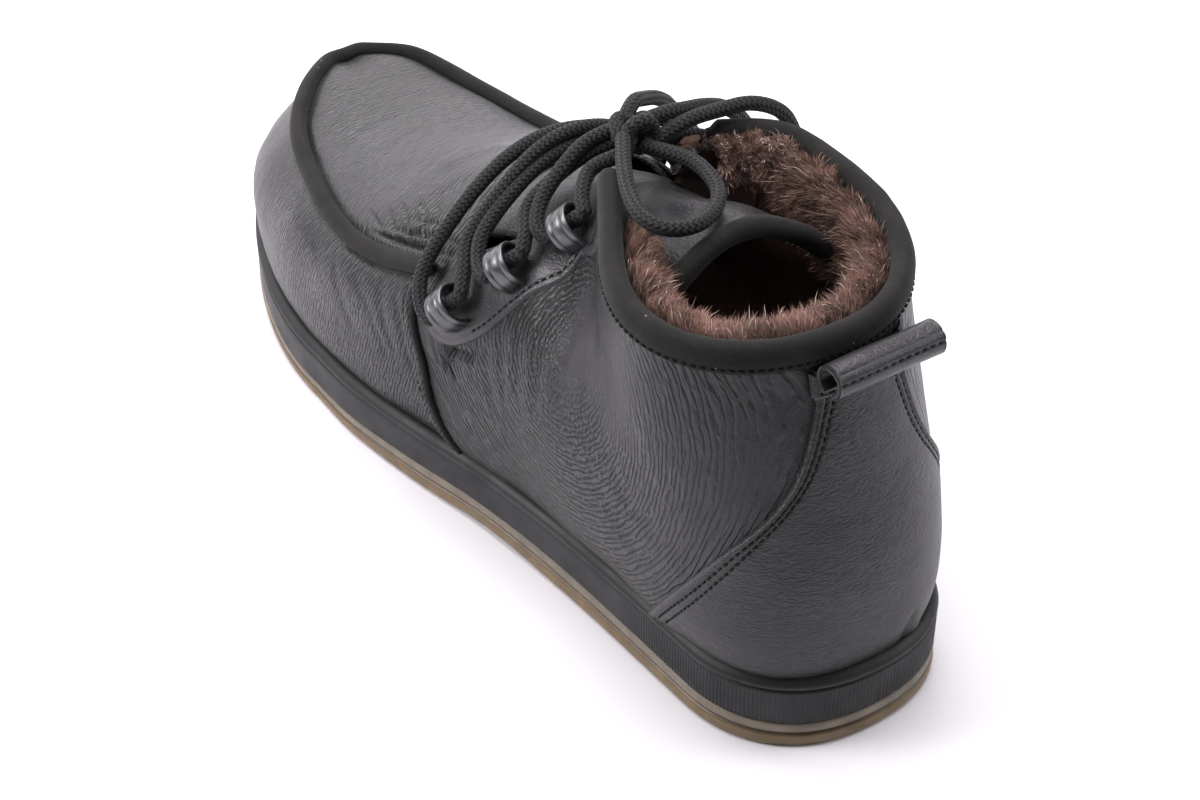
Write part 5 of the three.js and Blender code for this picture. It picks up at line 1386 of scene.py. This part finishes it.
# A hair: places along it, half width at each, and the tint of its seven points
HAIR_AT, HAIR_TAPER, HAIR_TINT = (0.0, 0.4, 0.75, 1.0), (1.0, 0.8, 0.5), (0.0, 0.0, 0.35, 0.35, 0.8, 0.8, 1.0)
for sign, name in ((1, "outer"), (-1, "inner")):
    draw = np.random.default_rng(100 + sign)
    root, lean = fur_places(sign, HAIRS, draw)
    count = len(root)
    lean = unit(lean + 0.3 * wave_field(root, 6.5, (51, 52, 53)) + 0.14 * draw.normal(size=(count, 3)))
    bend = 0.35 * wave_field(root, 4.0, (61, 62, 63)) + 0.22 * draw.normal(size=(count, 3))
    size = draw.uniform(*HAIR_SIZE, count)
    kemp = draw.uniform(size=count) < KEMP_SHARE
    size = np.where(kemp, size * KEMP_SIZE, size)[:, None]
    width = np.where(kemp, KEMP_WIDTH, draw.uniform(*HAIR_WIDTH, count))[:, None]
    side = unit(np.cross(lean, draw.normal(size=(count, 3))))
    spine = [root + lean * size * t + bend * size * t * t * 0.6 for t in HAIR_AT]
    for p in spine:
        p[:, 2] = np.minimum(p[:, 2], collar_z(root[:, 0]) + FUR_CEILING)
    verts = [p + side * width * w * end for p, w in zip(spine, HAIR_TAPER) for end in (-1, 1)] + [spine[3]]
    start = np.arange(count)[:, None] * len(verts)
    quads = np.concatenate([start + np.array([0, 1, 3, 2]), start + np.array([2, 3, 5, 4])])
    tris = start + np.array([4, 5, 6])
    shade = draw.uniform(0.65, 1.3, (count, 1)) * (1 + 0.25 * waves(root, 9, 71))[:, None]
    tip = np.where(kemp[:, None], FUR_PALE, FUR_TIP * shade)
    tint = np.stack([FUR_ROOT * shade + (tip - FUR_ROOT * shade) * k for k in HAIR_TINT], 1).reshape(-1, 3)
    points = np.stack(verts, 1).reshape(-1, 3)
    make_piece("fur_%s_hairs" % name, points, [quads, tris], FUR, tint=tint)

# Base ring: drop down the wall and depth, then depth and lift over the crown
BASE_WALL = [(1.25, 3.0), (1.25, 9.0), (0.9, 10.0), (0.5, 10.2), (0.2, 10.2)]
BASE_CROWN = [(10.0, 1.6), (9.0, 3.2), (7.6, 3.8), (6.3, 3.0), (5.5, 1.4), (5.0, -0.5)]
BASE_END, BASE_STATIONS = 0.84, 90
half_ring = np.linspace(BASE_END, 0, BASE_STATIONS)
ring_a = np.concatenate([half_ring, np.linspace(0, BASE_END, BASE_STATIONS)[1:]])
ring_sign = np.where(np.arange(len(ring_a)) < BASE_STATIONS, 1.0, -1.0)
collar_s, edge_points, out = collar_places(ring_sign, ring_a)
fur_rows = [off_last(collar_s - drop, ring_sign, ring_a, np.full(len(ring_a), -depth)) for drop, depth in BASE_WALL]
fur_rows += [edge_points - out * depth + UP * lift for depth, lift in BASE_CROWN]
P = np.stack(fur_rows, 0)
P = P + 0.7 * waves(P, 7, 81)[..., None] * np.array([0.5, 0.5, 0.6])
front = (P[..., 0] < FUR_FRONT) & ~((P[..., 0] > 78) & (abs(P[..., 1]) < 25) & (P[..., 2] > 92))
faces = grid_faces(*P.shape[:2])
faces = faces[front.ravel()[faces].all(1)]
tint = np.repeat((FUR_ROOT * 1.1)[None], P.shape[0] * P.shape[1], 0)
make_piece("fur_base", P.reshape(-1, 3), faces, FUR, ["fur_lining"], tint=tint)

# Seams of vamp and quarter: a near-black cord at the vamp's edge, painted shade in the seam's gap, and, ahead of it,
# a sewn line
SEAM_LOW, SEAM_HIGH, SEAM_STATIONS, SEAM_RADIUS = 21.5, 71, 66, 1.15
SEAM_SEWN, SEAM_EDGE = np.array([4.4, 0]), np.array([-0.1, 0])
z = np.linspace(SEAM_LOW, SEAM_HIGH, SEAM_STATIONS)
smooth = relax(centripetal(np.stack([seam_x(z), z], -1), 0.8), 30)
seam_shade_parts = []
for sign in (1, -1):
    s, a = place(sign, smooth + SEAM_SEWN, (0, 2), (9.5, 0.4), 0.05)
    stitch_lines.append(skin(s, sign, a, 0.1))
    s, a = place(sign, smooth + SEAM_EDGE, (0, 2), (9.5, 0.4), 0.05)
    # A near-black cord in the seam's gap: painted shade
    seam_shade_parts.append(tube(relax(off_last(s, sign, a, np.full(len(s), 0.15)), 20), SEAM_RADIUS, 12)[:2])
points, faces = join(seam_shade_parts)
make_piece("seam_shade_cords", points, faces, THREAD_AND_SEAM_SHADE)

# Stitches: short capsules sunk in their rows
STITCH_PITCH, STITCH_LENGTH, STITCH_RADIUS, STITCH_SIDES = 2.4, 1.6, 0.4, 6
stations = np.array([(-0.5, 0.25), (-0.36, 0.85), (0.0, 1.0), (0.36, 0.85), (0.5, 0.25)])
ring_turn = np.arange(STITCH_SIDES) / STITCH_SIDES * 2 * np.pi
ring_points = np.arange(STITCH_SIDES)
stitch_points = len(stations) * STITCH_SIDES
caps = np.array([ring_points[::-1], ring_points + stitch_points - STITCH_SIDES])
one = grid_faces(len(stations), STITCH_SIDES, True)
stitch_parts = []
for line in stitch_lines:
    spots = resample(line, STITCH_PITCH)
    run, side, up = carried(spots)
    ring = side[:, None] * np.cos(ring_turn)[:, None] + up[:, None] * np.sin(ring_turn)[:, None]
    body = spots[:, None, None] + run[:, None, None] * (stations[:, :1, None] * STITCH_LENGTH)
    body = body + ring[:, None] * (stations[:, 1:, None] * STITCH_RADIUS)
    starts = np.arange(len(spots))[:, None, None] * stitch_points
    both = [(one[None] + starts).reshape(-1, 4), (caps[None] + starts).reshape(-1, STITCH_SIDES)]
    stitch_parts.append((body.reshape(-1, 3), both))
points, faces = join(stitch_parts)
make_piece("stitches", points, faces, THREAD_AND_SEAM_SHADE)
